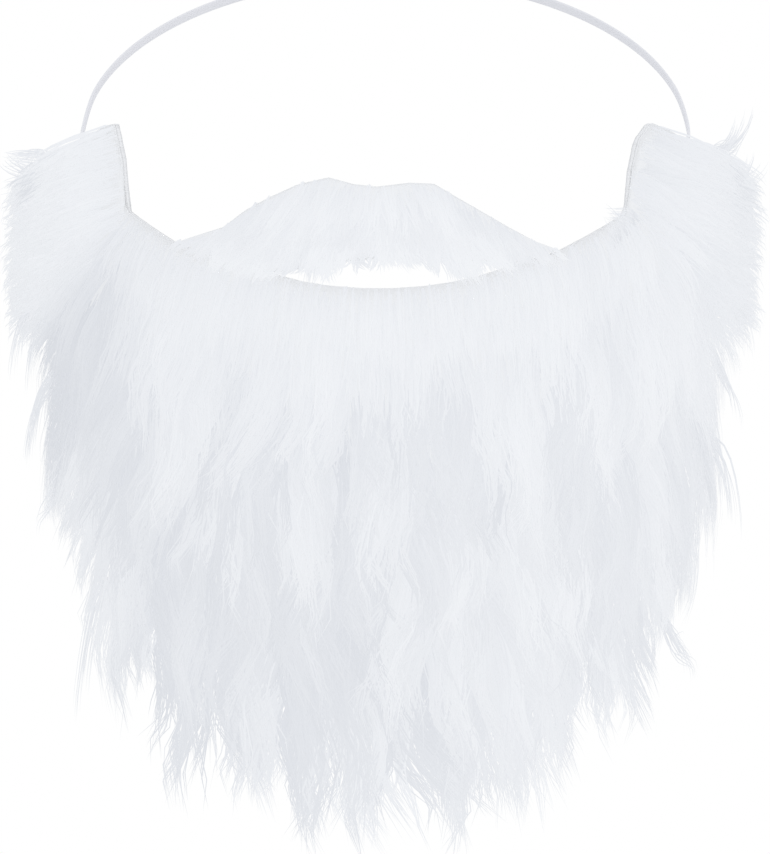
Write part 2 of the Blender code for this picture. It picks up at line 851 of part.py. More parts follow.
def make_tack(name, sign, collection, material):
    """A bar of stitches over the elastic's end, on the face side of the tab."""
    turn = STRAP_START_TURN + math.degrees((0.5 * TACK_LENGTH + TACK_MARGIN) / FACE_DEPTH)
    share = (turn - STRAP_START_TURN) / (STRAP_LEAVE_TURN - STRAP_START_TURN)
    height = STRAP_START_HEIGHT + (STRAP_LEAVE_HEIGHT - STRAP_START_HEIGHT) * share
    lay = -(STRAP_CLEARANCE + STRAP_THICKNESS + CLEARANCE + 0.5 * TACK_THICKNESS)
    out = face_normal(turn, height)
    end = face_point(STRAP_LEAVE_TURN, STRAP_LEAVE_HEIGHT)
    along = end - face_point(STRAP_START_TURN, STRAP_START_HEIGHT)
    ahead = (along - out * along.dot(out)).normalized()
    wide = out.cross(ahead)
    centre = face_point(turn, height, lay)
    if sign < 0:
        for vector in (out, ahead, wide, centre):
            vector.x = -vector.x
        wide = -wide
    bm = bmesh.new()
    bmesh.ops.create_cube(bm, size=1.0)
    bmesh.ops.scale(bm, vec=(TACK_LENGTH, TACK_WIDTH, TACK_THICKNESS), verts=bm.verts)
    tack = new_object(name, bm, collection, material)
    tack.matrix_world = Matrix.Translation(centre) @ Matrix((ahead, wide, out)).transposed().to_4x4()
    return tack


def make_material(name, colour, roughness):
    """A plain finish for one sub-part."""
    material = bpy.data.materials.new(name)
    material.use_nodes = True
    shader = material.node_tree.nodes["Principled BSDF"]
    shader.inputs["Base Color"].default_value = (*colour, 1.0)
    shader.inputs["Roughness"].default_value = roughness
    return material


def thicken(obj, thickness, by_share=False):
    """Gives an open sheet its wall, away from the face."""
    wall = obj.modifiers.new("wall", "SOLIDIFY")
    wall.thickness = thickness
    wall.offset = 1.0
    wall.use_even_offset = not by_share
    if by_share:
        wall.vertex_group = obj.vertex_groups.new(name="pile").name


def new_collection(name, parent, helper=False):
    """A collection of the scene, or a hidden one for helpers."""
    collection = bpy.data.collections.new(name)
    parent.children.link(collection)
    collection.hide_render = helper
    return collection


def main():
    """Builds every piece of the beard."""
    for obj in list(bpy.data.objects):
        bpy.data.objects.remove(obj)
    scene = bpy.context.scene.collection
    beard = new_collection("fake beard", scene)
    locks = new_collection("locks to fuse", scene, helper=True)

    cloth = make_material("knitted backing", (0.86, 0.86, 0.88), 0.9)
    pile = make_material("white pile", (0.90, 0.90, 0.92), 0.75)
    elastic = make_material("white elastic", (0.72, 0.73, 0.78), 0.6)
    thread = make_material("sewing thread", (0.84, 0.84, 0.87), 0.5)

    backing = new_object(
        "beard_backing", cloth_sheet(BOTTOM_LINE, TOP_LINE, PANEL_ROWS, 0.0), beard, cloth
    )
    thicken(backing, CLOTH)
    strip = new_object(
        "moustache_backing",
        cloth_sheet(STRIP_BOTTOM_LINE, STRIP_TOP_LINE, STRIP_ROWS, 0.0),
        beard,
        cloth,
    )
    thicken(strip, CLOTH)

    foot = CLOTH + CLEARANCE
    fur = new_object(
        "beard_fur",
        cloth_sheet(BOTTOM_LINE, TOP_LINE, PANEL_ROWS, foot, bed_thickness),
        beard,
        pile,
    )
    thicken(fur, BED + TAB_SWELL, by_share=True)
    panel_locks(locks)
    fringe_locks(locks)
    tab_tufts(locks)
    fuse(fur, locks)

    moustache = new_object(
        "moustache_fur",
        cloth_sheet(STRIP_PILE_LINE, STRIP_TOP_LINE, PILE_ROWS, foot, strip_bed_thickness),
        beard,
        pile,
    )
    thicken(moustache, BED + TAB_SWELL, by_share=True)

    for lock in locks.objects:
        lock.hide_render = True
        lock.display_type = "WIRE"

    make_strap(beard, elastic)
    make_tack("strap_tack_left", -1.0, beard, thread)
    make_tack("strap_tack_right", 1.0, beard, thread)


main()
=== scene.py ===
"""The looks of a fake beard of long white pile fur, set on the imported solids.

The pile is made of thousands of closed, tapering strands gathered in locks. They root on
the outer face of the CAD backing, so they go where its cut goes. The backing, elastic and
tacks get finer meshes of their own, with knit, ribs and stitches.

Sizes are in metres in the row frame, and turns are in degrees round the face.
"""

import logging
import math
from collections.abc import Callable
from dataclasses import dataclass
from enum import Enum

import bmesh
import bpy
import numpy as np
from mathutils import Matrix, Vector
from mathutils.bvhtree import BVHTree

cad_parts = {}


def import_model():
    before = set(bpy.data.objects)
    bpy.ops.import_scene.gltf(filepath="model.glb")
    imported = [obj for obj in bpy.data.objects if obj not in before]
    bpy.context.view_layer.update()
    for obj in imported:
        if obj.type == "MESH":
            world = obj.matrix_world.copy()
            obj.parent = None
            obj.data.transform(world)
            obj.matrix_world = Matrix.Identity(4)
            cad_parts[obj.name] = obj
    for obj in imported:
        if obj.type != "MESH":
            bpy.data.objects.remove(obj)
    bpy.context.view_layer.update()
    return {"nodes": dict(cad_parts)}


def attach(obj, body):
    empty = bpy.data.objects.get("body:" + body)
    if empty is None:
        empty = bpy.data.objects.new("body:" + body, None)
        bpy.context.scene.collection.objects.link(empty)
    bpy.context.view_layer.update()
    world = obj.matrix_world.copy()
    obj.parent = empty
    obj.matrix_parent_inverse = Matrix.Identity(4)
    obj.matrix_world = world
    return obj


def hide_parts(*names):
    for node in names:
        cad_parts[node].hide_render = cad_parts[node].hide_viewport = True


log = logging.getLogger("fake_beard")

PHOTO_HEIGHT = 854
METRES_PER_PIXEL = 0.0003
SEED = 20
TINY = 1e-9

# A strand's section as shares of its radius: its two edges and the ridge between them
RIBBON = ((-1.0, -0.06), (0.0, 0.12), (1.0, -0.06))


class Side(Enum):
    """A side of the beard as seen from the front, with the sign of its x."""

    LEFT = -1.0
    RIGHT = 1.0


def ease(share: np.ndarray) -> np.ndarray:
    """Smooth step from 0 to 1, for arrays.

    Args:
        share: Where each value stands between 0 and 1.

    Returns:
        The eased values.
    """
    share = np.clip(share, 0.0, 1.0)
    return share * share * (3.0 - 2.0 * share)


def smooth_noise(places: np.ndarray, seed: int, octaves: int = 2) -> np.ndarray:
    """Smooth noise in one to three dimensions, from sums of slanted sines.

    Args:
        places: Points, one row each, in units of one swell of the noise.
        seed: Which noise.
        octaves: How many finer copies are added.

    Returns:
        A value for each point, mostly between -1 and 1.
    """
    random = np.random.default_rng(seed)
    total = np.zeros(len(places))
    reach = 1.0
    for _ in range(octaves):
        for _ in range(5):
            way = random.normal(size=places.shape[1])
            way *= random.uniform(0.7, 1.5) / np.linalg.norm(way)
            total += reach * np.sin(places @ way * 2.0 * math.pi + random.uniform(0, 2.0 * math.pi))
        places = places * 2.1
        reach *= 0.5
    return total / 3.0


def read_curve(places: tuple[float, ...], values: tuple[float, ...], at: np.ndarray) -> np.ndarray:
    """Values on the smooth curve through a short table, as the CAD source reads its tables.

    Args:
        places: Where the table's rows stand, rising.
        values: The value of each row.
        at: Where the curve is read.

    Returns:
        A value for each place in at.
    """
    x = np.array(places)
    y = np.array(values)
    before = np.concatenate([[0], np.arange(len(x) - 1)])
    after = np.concatenate([np.arange(1, len(x)), [len(x) - 1]])
    slopes = (y[after] - y[before]) / (x[after] - x[before])
    at = np.clip(at, x[0], x[-1])
    i = np.clip(np.searchsorted(x, at, side="right") - 1, 0, len(x) - 2)
    step = x[i + 1] - x[i]
    t = (at - x[i]) / step
    return (
        (2 * t**3 - 3 * t**2 + 1) * y[i]
        + (t**3 - 2 * t**2 + t) * step * slopes[i]
        + (3 * t**2 - 2 * t**3) * y[i + 1]
        + (t**3 - t**2) * step * slopes[i + 1]
    )


@dataclass(frozen=True)
class FaceBow:
    """The bow of the cloth round the face, the same as the CAD model's."""

    half_width: float = 0.097
    depth: float = 0.085
    drop: float = 0.122
    heights: tuple[float, ...] = (-1.50, -1.00, -0.70, -0.36, 0.00, 0.25, 0.40)
    widths: tuple[float, ...] = (0.83, 0.88, 0.935, 0.98, 1.00, 1.00, 0.99)
    depths: tuple[float, ...] = (0.74, 0.80, 0.88, 0.96, 1.00, 1.00, 1.00)
    setbacks: tuple[float, ...] = (0.040, 0.020, -0.015, -0.030, 0.000, 0.030, 0.050)

    def section(self, height: np.ndarray) -> tuple[np.ndarray, np.ndarray, np.ndarray]:
        """Half width, depth and setback of the bow at each height.

        Args:
            height: Heights above the mouth line.

        Returns:
            Three arrays of the same shape.
        """
        share = height / self.drop
        width = read_curve(self.heights, self.widths, share) * self.half_width
        depth = read_curve(self.heights, self.depths, share) * self.depth
        setback = read_curve(self.heights, self.setbacks, share) * self.depth
        return width, depth, setback

    def outward(self, turn: np.ndarray, height: np.ndarray) -> np.ndarray:
        """Level directions away from the face.

        Args:
            turn: Turns round the face in degrees.
            height: Heights above the mouth line.

        Returns:
            Unit vectors, in the last axis.
        """
        width, depth, _ = self.section(height)
        angle = np.radians(turn)
        x = depth * np.sin(angle)
        y = -width * np.cos(angle)
        length = np.hypot(x, y)
        return np.stack([x / length, y / length, np.zeros_like(x)], axis=-1)

    def points(self, turn: np.ndarray, height: np.ndarray, offset: np.ndarray) -> np.ndarray:
        """Points this far out from the face side of the cloth.

        Args:
            turn: Turns round the face in degrees.
            height: Heights above the mouth line.
            offset: How far out from the cloth's face side.

        Returns:
            Points, in the last axis.
        """
        width, depth, setback = self.section(height)
        angle = np.radians(turn)
        x = width * np.sin(angle)
        y = depth * (1.0 - np.cos(angle)) + setback
        out = self.outward(turn, height)
        return np.stack([x, y, height], axis=-1) + out * np.asarray(offset)[..., None]


class CutCloth:
    """A CAD cloth node, asked where its cut leaves cloth."""

    reach: float = 0.030
    lowest: float = -0.125
    highest: float = 0.050
    rows: int = 176
    halvings: int = 7

    def __init__(self, node: bpy.types.Object, bow: FaceBow) -> None:
        """Reads the node's mesh into a search tree."""
        mesh = bmesh.new()
        mesh.from_mesh(node.data)
        self.tree = BVHTree.FromBMesh(mesh)
        mesh.free()
        self.bow = bow

    def edges(self, turns: np.ndarray) -> tuple[np.ndarray, np.ndarray]:
        """Heights of the cut's lower and upper edge at each turn.

        Args:
            turns: Turns round the face in degrees.

        Returns:
            The lower and the upper heights, not a number where there is no cloth.
        """
        heights = np.linspace(self.lowest, self.highest, self.rows)
        grid_turn, grid_height = np.meshgrid(turns, heights, indexing="ij")
        cloth = self.covers(grid_turn.ravel(), grid_height.ravel()).reshape(grid_turn.shape)
        edges = []
        lowest = np.where(cloth, grid_height, np.inf).min(axis=1)
        highest = np.where(cloth, grid_height, -np.inf).max(axis=1)
        for way, best in ((-1.0, lowest), (1.0, highest)):
            step = heights[1] - heights[0]
            inside = best
            for _ in range(self.halvings):
                step *= 0.5
                further = inside + way * step
                inside = np.where(self.covers(turns, further), further, inside)
            edges.append(np.where(np.isfinite(inside), inside, np.nan))
        return edges[0], edges[1]

    def covers(self, turn: np.ndarray, height: np.ndarray) -> np.ndarray:
        """Which places have cloth.

        Args:
            turn: Turns round the face in degrees.
            height: Heights above the mouth line.

        Returns:
            True for each place on the cloth.
        """
        starts = self.bow.points(turn, height, np.full(turn.shape, self.reach))
        ways = -self.bow.outward(turn, height)
        found = [
            self.tree.ray_cast(Vector(start), Vector(way), 1.6 * self.reach)[0] is not None
            for start, way in zip(starts, ways)
        ]
        return np.array(found, bool)


@dataclass
class Strands:
    """Centre lines of many strands, with what their finish needs."""

    paths: np.ndarray
    radii: np.ndarray
    tones: np.ndarray
    outward: np.ndarray

    @property
    def count(self) -> int:
        """How many strands there are."""
        return len(self.paths)

    @property
    def triangles(self) -> int:
        """How many triangles their mesh has."""
        steps = self.paths.shape[1]
        return self.count * (6 * (steps - 2) + 4)

    def chosen(self, which: np.ndarray) -> "Strands":
        """The strands that a mask or an index picks."""
        return Strands(
            self.paths[which], self.radii[which], self.tones[which], self.outward[which]
        )

    def mesh(self, name: str) -> bpy.types.Mesh:
        """Closed flat three-sided ribbons that face outwards and end in a point.

        Args:
            name: The mesh's name.

        Returns:
            A mesh with the attributes along and tone on its points.
        """
        paths = self.paths
        count, steps, _ = paths.shape
        ahead = np.gradient(paths, axis=1)
        ahead /= np.maximum(np.linalg.norm(ahead, axis=2, keepdims=True), TINY)
        aside = np.cross(ahead, self.outward)
        aside /= np.maximum(np.linalg.norm(aside, axis=2, keepdims=True), TINY)
        over = np.cross(aside, ahead)
        rings = steps - 1
        corners = np.empty((count, rings * 3 + 1, 3))
        for k, (wide, high) in enumerate(RIBBON):
            offset = aside * wide + over * high
            corners[:, k : rings * 3 : 3] = paths[:, :-1] + (offset * self.radii[..., None])[:, :-1]
        corners[:, -1] = paths[:, -1]
        first = np.arange(count)[:, None] * (rings * 3 + 1)
        quads = []
        for ring in range(rings - 1):
            for k in range(3):
                a, b = ring * 3 + k, ring * 3 + (k + 1) % 3
                quads.append((a, b, b + 3, a + 3))
        last = (rings - 1) * 3
        tips = [(last + k, last + (k + 1) % 3, rings * 3) for k in range(3)]
        caps = [(2, 1, 0)]
        quad_corners = (first[:, :, None] + np.array(quads)[None]).reshape(-1)
        tri_corners = (first[:, :, None] + np.array(tips + caps)[None]).reshape(-1)
        quad_total = len(quad_corners) // 4
        tri_total = len(tri_corners) // 3
        mesh = bpy.data.meshes.new(name)
        mesh.vertices.add(count * (rings * 3 + 1))
        mesh.vertices.foreach_set("co", corners.reshape(-1))
        vertex_order = np.concatenate([quad_corners, tri_corners]).astype(np.int32)
        mesh.loops.add(len(vertex_order))
        mesh.loops.foreach_set("vertex_index", vertex_order)
        mesh.polygons.add(quad_total + tri_total)
        starts = np.concatenate([
            np.arange(quad_total) * 4,
            quad_total * 4 + np.arange(tri_total) * 3,
        ])
        mesh.polygons.foreach_set("loop_start", starts.astype(np.int32))
        mesh.update(calc_edges=True)
        mesh.shade_flat()
        along = np.concatenate([
            np.repeat(np.linspace(0.0, 1.0, steps)[:-1], 3),
            [1.0],
        ])
        layer = mesh.attributes.new("along", "FLOAT", "POINT")
        layer.data.foreach_set("value", np.tile(along, count).astype(np.float32))
        layer = mesh.attributes.new("tone", "FLOAT", "POINT")
        layer.data.foreach_set("value", np.repeat(self.tones, rings * 3 + 1).astype(np.float32))
        return mesh


@dataclass
class Locks:
    """Locks of pile: where each roots, how it falls and how its strands gather."""

    turn: np.ndarray
    height: np.ndarray
    length: np.ndarray
    lean: np.ndarray
    rise: np.ndarray
    spread: np.ndarray
    gather: np.ndarray
    wave: np.ndarray
    curl: np.ndarray
    phase: np.ndarray
    tone: np.ndarray

    @property
    def count(self) -> int:
        """How many locks there are."""
        return len(self.turn)


@dataclass(frozen=True)
class StrandCut:
    """How the strands of a set of locks are made.

    Some strands are free. They keep further from the middle of the lock and frizz more.
    A strand's tone is mostly its lock's, with painted shade for its depth, deeper strands darker,
    and a random share of its own.
    """

    strands: int
    steps: int
    radius: float
    frizz: float = 0.0007
    wavelength: float = 0.034
    foot: float = 0.0022
    least_lift: float = 0.0002
    free_share: float = 0.10
    free_hold: float = 0.35
    free_frizz: float = 2.6
    free_rise: float = 0.10
    edge_draw: float = 0.25
    depth: float = 0.6
    second_wave: float = 0.35
    out_wave: float = 0.30
    lock_tone: float = 0.80
    # Painted shade: strands deeper in the lock are darker.
    depth_painted_shade: float = 0.16
    own_tone: float = 0.04
    taper_places: tuple[float, ...] = (0.0, 0.15, 0.6, 0.9, 1.0)
    taper: tuple[float, ...] = (0.75, 1.0, 0.85, 0.45, 0.1)


def grow(locks: Locks, cut: StrandCut, cloth: CutCloth, random: np.random.Generator) -> Strands:
    """Grows every strand of the locks from the cloth.

    A strand leaves the cloth at once, bends over and falls along the cloth. It swings and
    waves with its lock, and draws nearer to the middle of the lock towards the tip.

    Args:
        locks: The locks.
        cut: How their strands are made.
        cloth: The cloth that they root on.
        random: The source of chance.

    Returns:
        The strands, lock by lock.
    """
    bow = cloth.bow
    strands = cut.strands
    total = locks.count * strands
    steps = cut.steps
    s = np.linspace(0.0, 1.0, steps)[None, :]

    def each(values: np.ndarray) -> np.ndarray:
        """A lock's value for each of its strands, as a column."""
        return np.repeat(values, strands)[:, None]

    angle = random.uniform(0.0, 2.0 * math.pi, (total, 1))
    radius = np.sqrt(random.uniform(0.0, 1.0, (total, 1))) * each(locks.spread)
    off_across = radius * np.cos(angle)
    off_down = radius * np.sin(angle) * 0.9
    half_width, _, _ = bow.section(each(locks.height))
    root_turn = each(locks.turn) + np.degrees(off_across / half_width)
    on_cloth = cloth.covers(root_turn[:, 0], (each(locks.height) + off_down)[:, 0])[:, None]
    off_across *= np.where(on_cloth, 1.0, cut.edge_draw)
    off_down *= np.where(on_cloth, 1.0, cut.edge_draw)
    layer = np.clip(random.normal(0.0, 0.5, (total, 1)), -1.0, 1.0)
    off_out = cut.depth * layer * each(locks.spread)
    free = random.uniform(0.0, 1.0, (total, 1)) < cut.free_share
    hold = np.where(free, cut.free_hold, each(locks.gather))
    length = each(locks.length) * random.uniform(0.80, 1.05, (total, 1))
    length *= np.where(free, random.uniform(0.75, 1.12, (total, 1)), 1.0)
    close = 1.0 - hold * s**0.75
    phase = each(locks.phase)
    phase2 = 1.7 * phase + 0.9
    own_waves = each(random.uniform(0.92, 1.08, locks.count))
    waves = 2.0 * math.pi * length / cut.wavelength * own_waves
    swing = each(locks.wave) * s**0.8 * np.sin(waves * s + phase)
    swing += each(locks.curl) * s**2.6
    swing += cut.second_wave * each(locks.wave) * s * np.sin(2.3 * waves * s + phase2)
    own = random.uniform(0.0, 2.0 * math.pi, (total, 1))
    fine = cut.frizz * np.where(free, cut.free_frizz, 1.0)
    swing += fine * s * np.sin(random.uniform(1.0, 3.2, (total, 1)) * math.pi * s * 2.0 + own)
    across = off_across * close + swing + each(np.sin(np.radians(locks.lean))) * length * s**1.15
    fall = -np.cos(np.radians(locks.lean))
    down = off_down * close + length * each(fall) * s
    rise = each(locks.rise) * (1.0 + cut.free_rise * np.where(free, 1.0, 0.0))
    belly = rise * (1.0 - (1.0 - s) ** 2.4)
    belly += cut.out_wave * each(locks.wave) * s * np.sin(0.8 * waves * s + phase2 + own * 0.15)
    offset = cut.foot + belly + off_out * close * np.minimum(s * 4.0, 1.0)
    offset = np.maximum(offset, cut.foot + cut.least_lift)
    height = each(locks.height) + down
    width, _, _ = bow.section(height)
    around = np.maximum(width + offset, 0.02)
    turn = each(locks.turn) + np.degrees(across / around)
    paths = bow.points(turn, height, offset)
    taper = np.interp(s, cut.taper_places, cut.taper)
    radii = cut.radius * taper * random.uniform(0.75, 1.25, (total, 1))
    # Painted shade: a strand deeper in its lock gets a lower tone.
    tones = cut.lock_tone * each(locks.tone) + cut.depth_painted_shade * (0.5 + 0.5 * layer)
    tones = tones[:, 0] + cut.own_tone * random.uniform(0.0, 1.0, total)
    radii = np.broadcast_to(radii, (total, steps)).copy()
    return Strands(paths, radii, tones, bow.outward(turn, height))


def scattered(
    cloth: CutCloth, turns: tuple[float, float], heights: tuple[float, float], gap: float,
    random: np.random.Generator,
) -> tuple[np.ndarray, np.ndarray]:
    """Root places on the cloth, one in each cell of a shaken grid.

    Args:
        cloth: The cloth that must be under them.
        turns: The first and last turn.
        heights: The lowest and highest height.
        gap: The grid's spacing.
        random: The source of chance.

    Returns:
        The turn and height of each root.
    """
    step = math.degrees(gap / cloth.bow.half_width)
    columns = np.arange(turns[0], turns[1], step)
    rows = np.arange(heights[0], heights[1], gap)
    turn, height = (grid.ravel() for grid in np.meshgrid(columns, rows))
    turn = turn + random.uniform(-0.5, 0.5, len(turn)) * step
    height = height + random.uniform(-0.5, 0.5, len(height)) * gap
    kept = cloth.covers(turn, height)
    return turn[kept], height[kept]


def add_piece(name: str, mesh: bpy.types.Mesh, material: bpy.types.Material) -> bpy.types.Object:
    """Makes a mesh a piece of the beard.

    Args:
        name: The piece's name.
        mesh: Its mesh, already in place.
        material: Its finish.

    Returns:
        The new object, riding on the one body.
    """
    piece = bpy.data.objects.new(name, mesh)
    bpy.context.scene.collection.objects.link(piece)
    mesh.materials.append(material)
    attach(piece, "root")
    log.info("%s: %d faces", name, len(mesh.polygons))
    return piece


def travelled(points: np.ndarray) -> np.ndarray:
    """How far along a line of points each of them is.

    Args:
        points: The points, one row each.

    Returns:
        A length for each point, from 0 at the first.
    """
    steps = np.linalg.norm(np.diff(points, axis=0), axis=1)
    return np.concatenate([[0.0], np.cumsum(steps)])


def smooth_line(points: np.ndarray, stations: int) -> np.ndarray:
    """Evenly spaced points on the smooth curve through a few.

    Args:
        points: The points that the curve passes.
        stations: How many points are wanted.

    Returns:
        The points, one row each.
    """
    before = np.concatenate([points[:1], points[:-2]])[:, None, :]
    after = np.concatenate([points[2:], points[-1:]])[:, None, :]
    start = points[:-1, None, :]
    end = points[1:, None, :]
    t = np.linspace(0.0, 1.0, 16, endpoint=False)[None, :, None]
    square = (2 * before - 5 * start + 4 * end - after) * t**2
    cubic = (3 * start - before - 3 * end + after) * t**3
    fine = 0.5 * (2 * start + (end - before) * t + square + cubic)
    fine = np.concatenate([fine.reshape(-1, 3), points[-1:]])
    along = travelled(fine)
    wanted = np.linspace(0.0, along[-1], stations)
    return np.stack([np.interp(wanted, along, fine[:, axis]) for axis in range(3)], axis=1)


def thread_rings(line: np.ndarray, radius: float, sides: int = 8) -> np.ndarray:
    """Rings of a round thread along a line.

    Args:
        line: The thread's middle line.
        radius: Its radius.
        sides: How many sides it has.

    Returns:
        The rings, each a row of points.
    """
    ahead = np.gradient(line, axis=0)
    ahead /= np.linalg.norm(ahead, axis=1, keepdims=True)
    aside = np.cross(ahead, np.array([0.21, -0.35, 0.91]))
    aside /= np.linalg.norm(aside, axis=1, keepdims=True)
    over = np.cross(ahead, aside)
    angle = np.linspace(0.0, 2.0 * math.pi, sides, endpoint=False)[None, :, None]
    circle = np.cos(angle) * aside[:, None] + np.sin(angle) * over[:, None]
    return line[:, None] + radius * circle


def loft_mesh(name: str, tubes: list[np.ndarray]) -> bpy.types.Mesh:
    """Closed tubes through rings of points, mapped in metres along and round them.

    Args:
        name: The mesh's name.
        tubes: The rings of each tube.

    Returns:
        The mesh of all the tubes.
    """
    mesh = bmesh.new()
    layer = mesh.loops.layers.uv.new("band")
    for rings in tubes:
        along = travelled(rings.mean(axis=1))
        round_it = travelled(np.concatenate([rings[0], rings[0][:1]]))
        loops = [[mesh.verts.new(point) for point in ring] for ring in rings]
        sides = len(loops[0])
        for i, (first, second) in enumerate(zip(loops, loops[1:])):
            for k in range(sides):
                j = (k + 1) % sides
                face = mesh.faces.new((first[k], first[j], second[j], second[k]))
                face.smooth = True
                places = ((i, k), (i, k + 1), (i + 1, k + 1), (i + 1, k))
                for loop, (row, place) in zip(face.loops, places):
                    loop[layer].uv = (along[row], round_it[place])
        mesh.faces.new(loops[0][::-1])
        mesh.faces.new(loops[-1])
    bmesh.ops.recalc_face_normals(mesh, faces=mesh.faces)
    result = bpy.data.meshes.new(name)
    mesh.to_mesh(result)
    mesh.free()
    return result


def add_pile(
    name: str, strands: Strands, material: bpy.types.Material, node: str
) -> bpy.types.Object:
    """Makes strands a piece of the pile.

    Light reaches every strand, as it does through real white pile, whose strands pass on
    nearly all of it. So the strands hide one another from the camera and not from light.

    Args:
        name: The piece's name.
        strands: Its strands.
        material: The pile's finish.
        node: The CAD node that it replaces.

    Returns:
        The piece.
    """
    piece = add_piece(name, strands.mesh(name), material)
    piece.visible_shadow = False
    piece.visible_diffuse = False
    piece.visible_transmission = False
    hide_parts(node)
    return piece


@dataclass
class BowSheet:
    """A closed sheet on the bow over a cloth's cut, from a grid moved into place."""

    cloth: CutCloth
    turn_limit: float
    columns: int
    rows: int

    def __post_init__(self) -> None:
        """Reads the cut's edges at each column."""
        turns = np.linspace(-self.turn_limit, self.turn_limit, self.columns * 4 + 1)
        low, high = self.cloth.edges(turns)
        cut = np.isfinite(low)
        self.turns = np.linspace(turns[cut][0], turns[cut][-1], self.columns + 1)
        self.low = np.interp(self.turns, turns[cut], low[cut])
        self.high = np.interp(self.turns, turns[cut], high[cut])

    def mesh(self, name: str, inner: float, wall: Callable[..., np.ndarray]) -> bpy.types.Mesh:
        """Makes the sheet and its map, in metres along the cloth.

        Args:
            name: The mesh's name.
            inner: How far its face side is from the cloth's face side.
            wall: Gives the wall from the turn, height, lower edge and upper edge.

        Returns:
            The closed mesh.
        """
        mesh = bmesh.new()
        bmesh.ops.create_grid(mesh, x_segments=self.columns, y_segments=self.rows, size=1.0)
        raised = bmesh.ops.extrude_face_region(mesh, geom=mesh.faces[:], use_keep_orig=True)
        outer = [part for part in raised["geom"] if isinstance(part, bmesh.types.BMVert)]
        bmesh.ops.translate(mesh, vec=(0.0, 0.0, 1.0), verts=outer)
        corners = np.array([vert.co[:] for vert in mesh.verts])
        column = np.rint((corners[:, 0] + 1.0) / 2.0 * self.columns).astype(int)
        turn = self.turns[column]
        low = self.low[column]
        high = self.high[column]
        height = low + (high - low) * (corners[:, 1] + 1.0) / 2.0
        offset = inner + wall(turn, height, low, high) * corners[:, 2]
        places = self.cloth.bow.points(turn, height, offset)
        flat = np.stack([np.radians(turn) * self.cloth.bow.half_width, height], axis=1)
        mesh.verts.index_update()
        for vert, place in zip(mesh.verts, places):
            vert.co = place
        layer = mesh.loops.layers.uv.new("cloth")
        for face in mesh.faces:
            face.smooth = True
            for loop in face.loops:
                loop[layer].uv = flat[loop.vert.index]
        bmesh.ops.recalc_face_normals(mesh, faces=mesh.faces)
        result = bpy.data.meshes.new(name)
        mesh.to_mesh(result)
        mesh.free()
        return result

    def flat_size(self) -> tuple[float, float, float]:
        """Width, length and area of the cut laid flat.

        Returns:
            The three, in metres and square metres.
        """
        middle = 0.5 * (self.low + self.high)
        line = self.cloth.bow.points(self.turns, middle, np.zeros(self.turns.shape))
        level = line * (1.0, 1.0, 0.0)
        steps = np.linalg.norm(np.diff(level, axis=0), axis=1)
        heights = self.high - self.low
        area = (steps * 0.5 * (heights[1:] + heights[:-1])).sum()
        return float(steps.sum()), float(self.high.max() - self.low.min()), float(area)


@dataclass(frozen=True)
class HemStop:
    """How far down the pile's tips reach at a distance across from the middle."""

    across: float
    drop: float


LEFT_HEM = (
    HemStop(0.000, 0.171),
    HemStop(0.028, 0.170),
    HemStop(0.051, 0.165),
    HemStop(0.063, 0.156),
    HemStop(0.068, 0.147),
    HemStop(0.071, 0.137),
    HemStop(0.085, 0.128),
    HemStop(0.089, 0.119),
    HemStop(0.095, 0.106),
    HemStop(0.102, 0.076),
)
RIGHT_HEM = (
    HemStop(0.000, 0.171),
    HemStop(0.026, 0.168),
    HemStop(0.045, 0.160),
    HemStop(0.052, 0.156),
    HemStop(0.068, 0.148),
    HemStop(0.072, 0.136),
    HemStop(0.080, 0.125),
    HemStop(0.090, 0.119),
    HemStop(0.095, 0.106),
    HemStop(0.101, 0.078),
)


@dataclass
class Clumps:
    """Places where the pile has drawn together into broad wavy tresses."""

    turn: np.ndarray
    height: np.ndarray
    phase: np.ndarray
    sway: np.ndarray
    reach: np.ndarray
    tone: np.ndarray
    gap_turn: float
    gap_height: float

    @staticmethod
    def scattered(
        turns: float, heights: tuple[float, float], gap_turn: float, gap_height: float,
        random: np.random.Generator,
    ) -> "Clumps":
        """Scatters clumps over the panel on a shaken grid.

        Args:
            turns: The furthest turn to either side.
            heights: The lowest and highest height.
            gap_turn: The grid's spacing round the face, in degrees.
            gap_height: Its spacing up the face.
            random: The source of chance.

        Returns:
            The clumps, each with its own wave, sway, length and tone.
        """
        columns = np.arange(-turns, turns, gap_turn)
        rows = np.arange(heights[0], heights[1], gap_height)
        turn, height = (grid.ravel() for grid in np.meshgrid(columns, rows))
        count = len(turn)
        turn = turn + random.uniform(-0.42, 0.42, count) * gap_turn
        height = height + random.uniform(-0.42, 0.42, count) * gap_height
        return Clumps(
            turn=turn,
            height=height,
            phase=random.uniform(0.0, 2.0 * math.pi, count),
            sway=random.normal(0.0, 1.0, count),
            reach=random.uniform(-1.0, 1.0, count),
            tone=random.uniform(-1.0, 1.0, count),
            gap_turn=gap_turn,
            gap_height=gap_height,
        )

    def nearest(self, turn: np.ndarray, height: np.ndarray) -> tuple[np.ndarray, np.ndarray]:
        """Finds each root's clump.

        Args:
            turn: The turn of each root.
            height: Its height.

        Returns:
            The clump's number, and how far off its middle is as a share of its size.
        """
        away_turn = (turn[:, None] - self.turn[None]) / self.gap_turn
        away_height = (height[:, None] - self.height[None]) / self.gap_height
        away = np.hypot(away_turn, away_height)
        which = away.argmin(axis=1)
        return which, away[np.arange(len(turn)), which]


@dataclass(frozen=True)
class Regions:
    """A value for each region of the panel: under its upper edge, body, cheeks and tabs."""

    lip: float
    body: float
    cheek: float
    tab: float


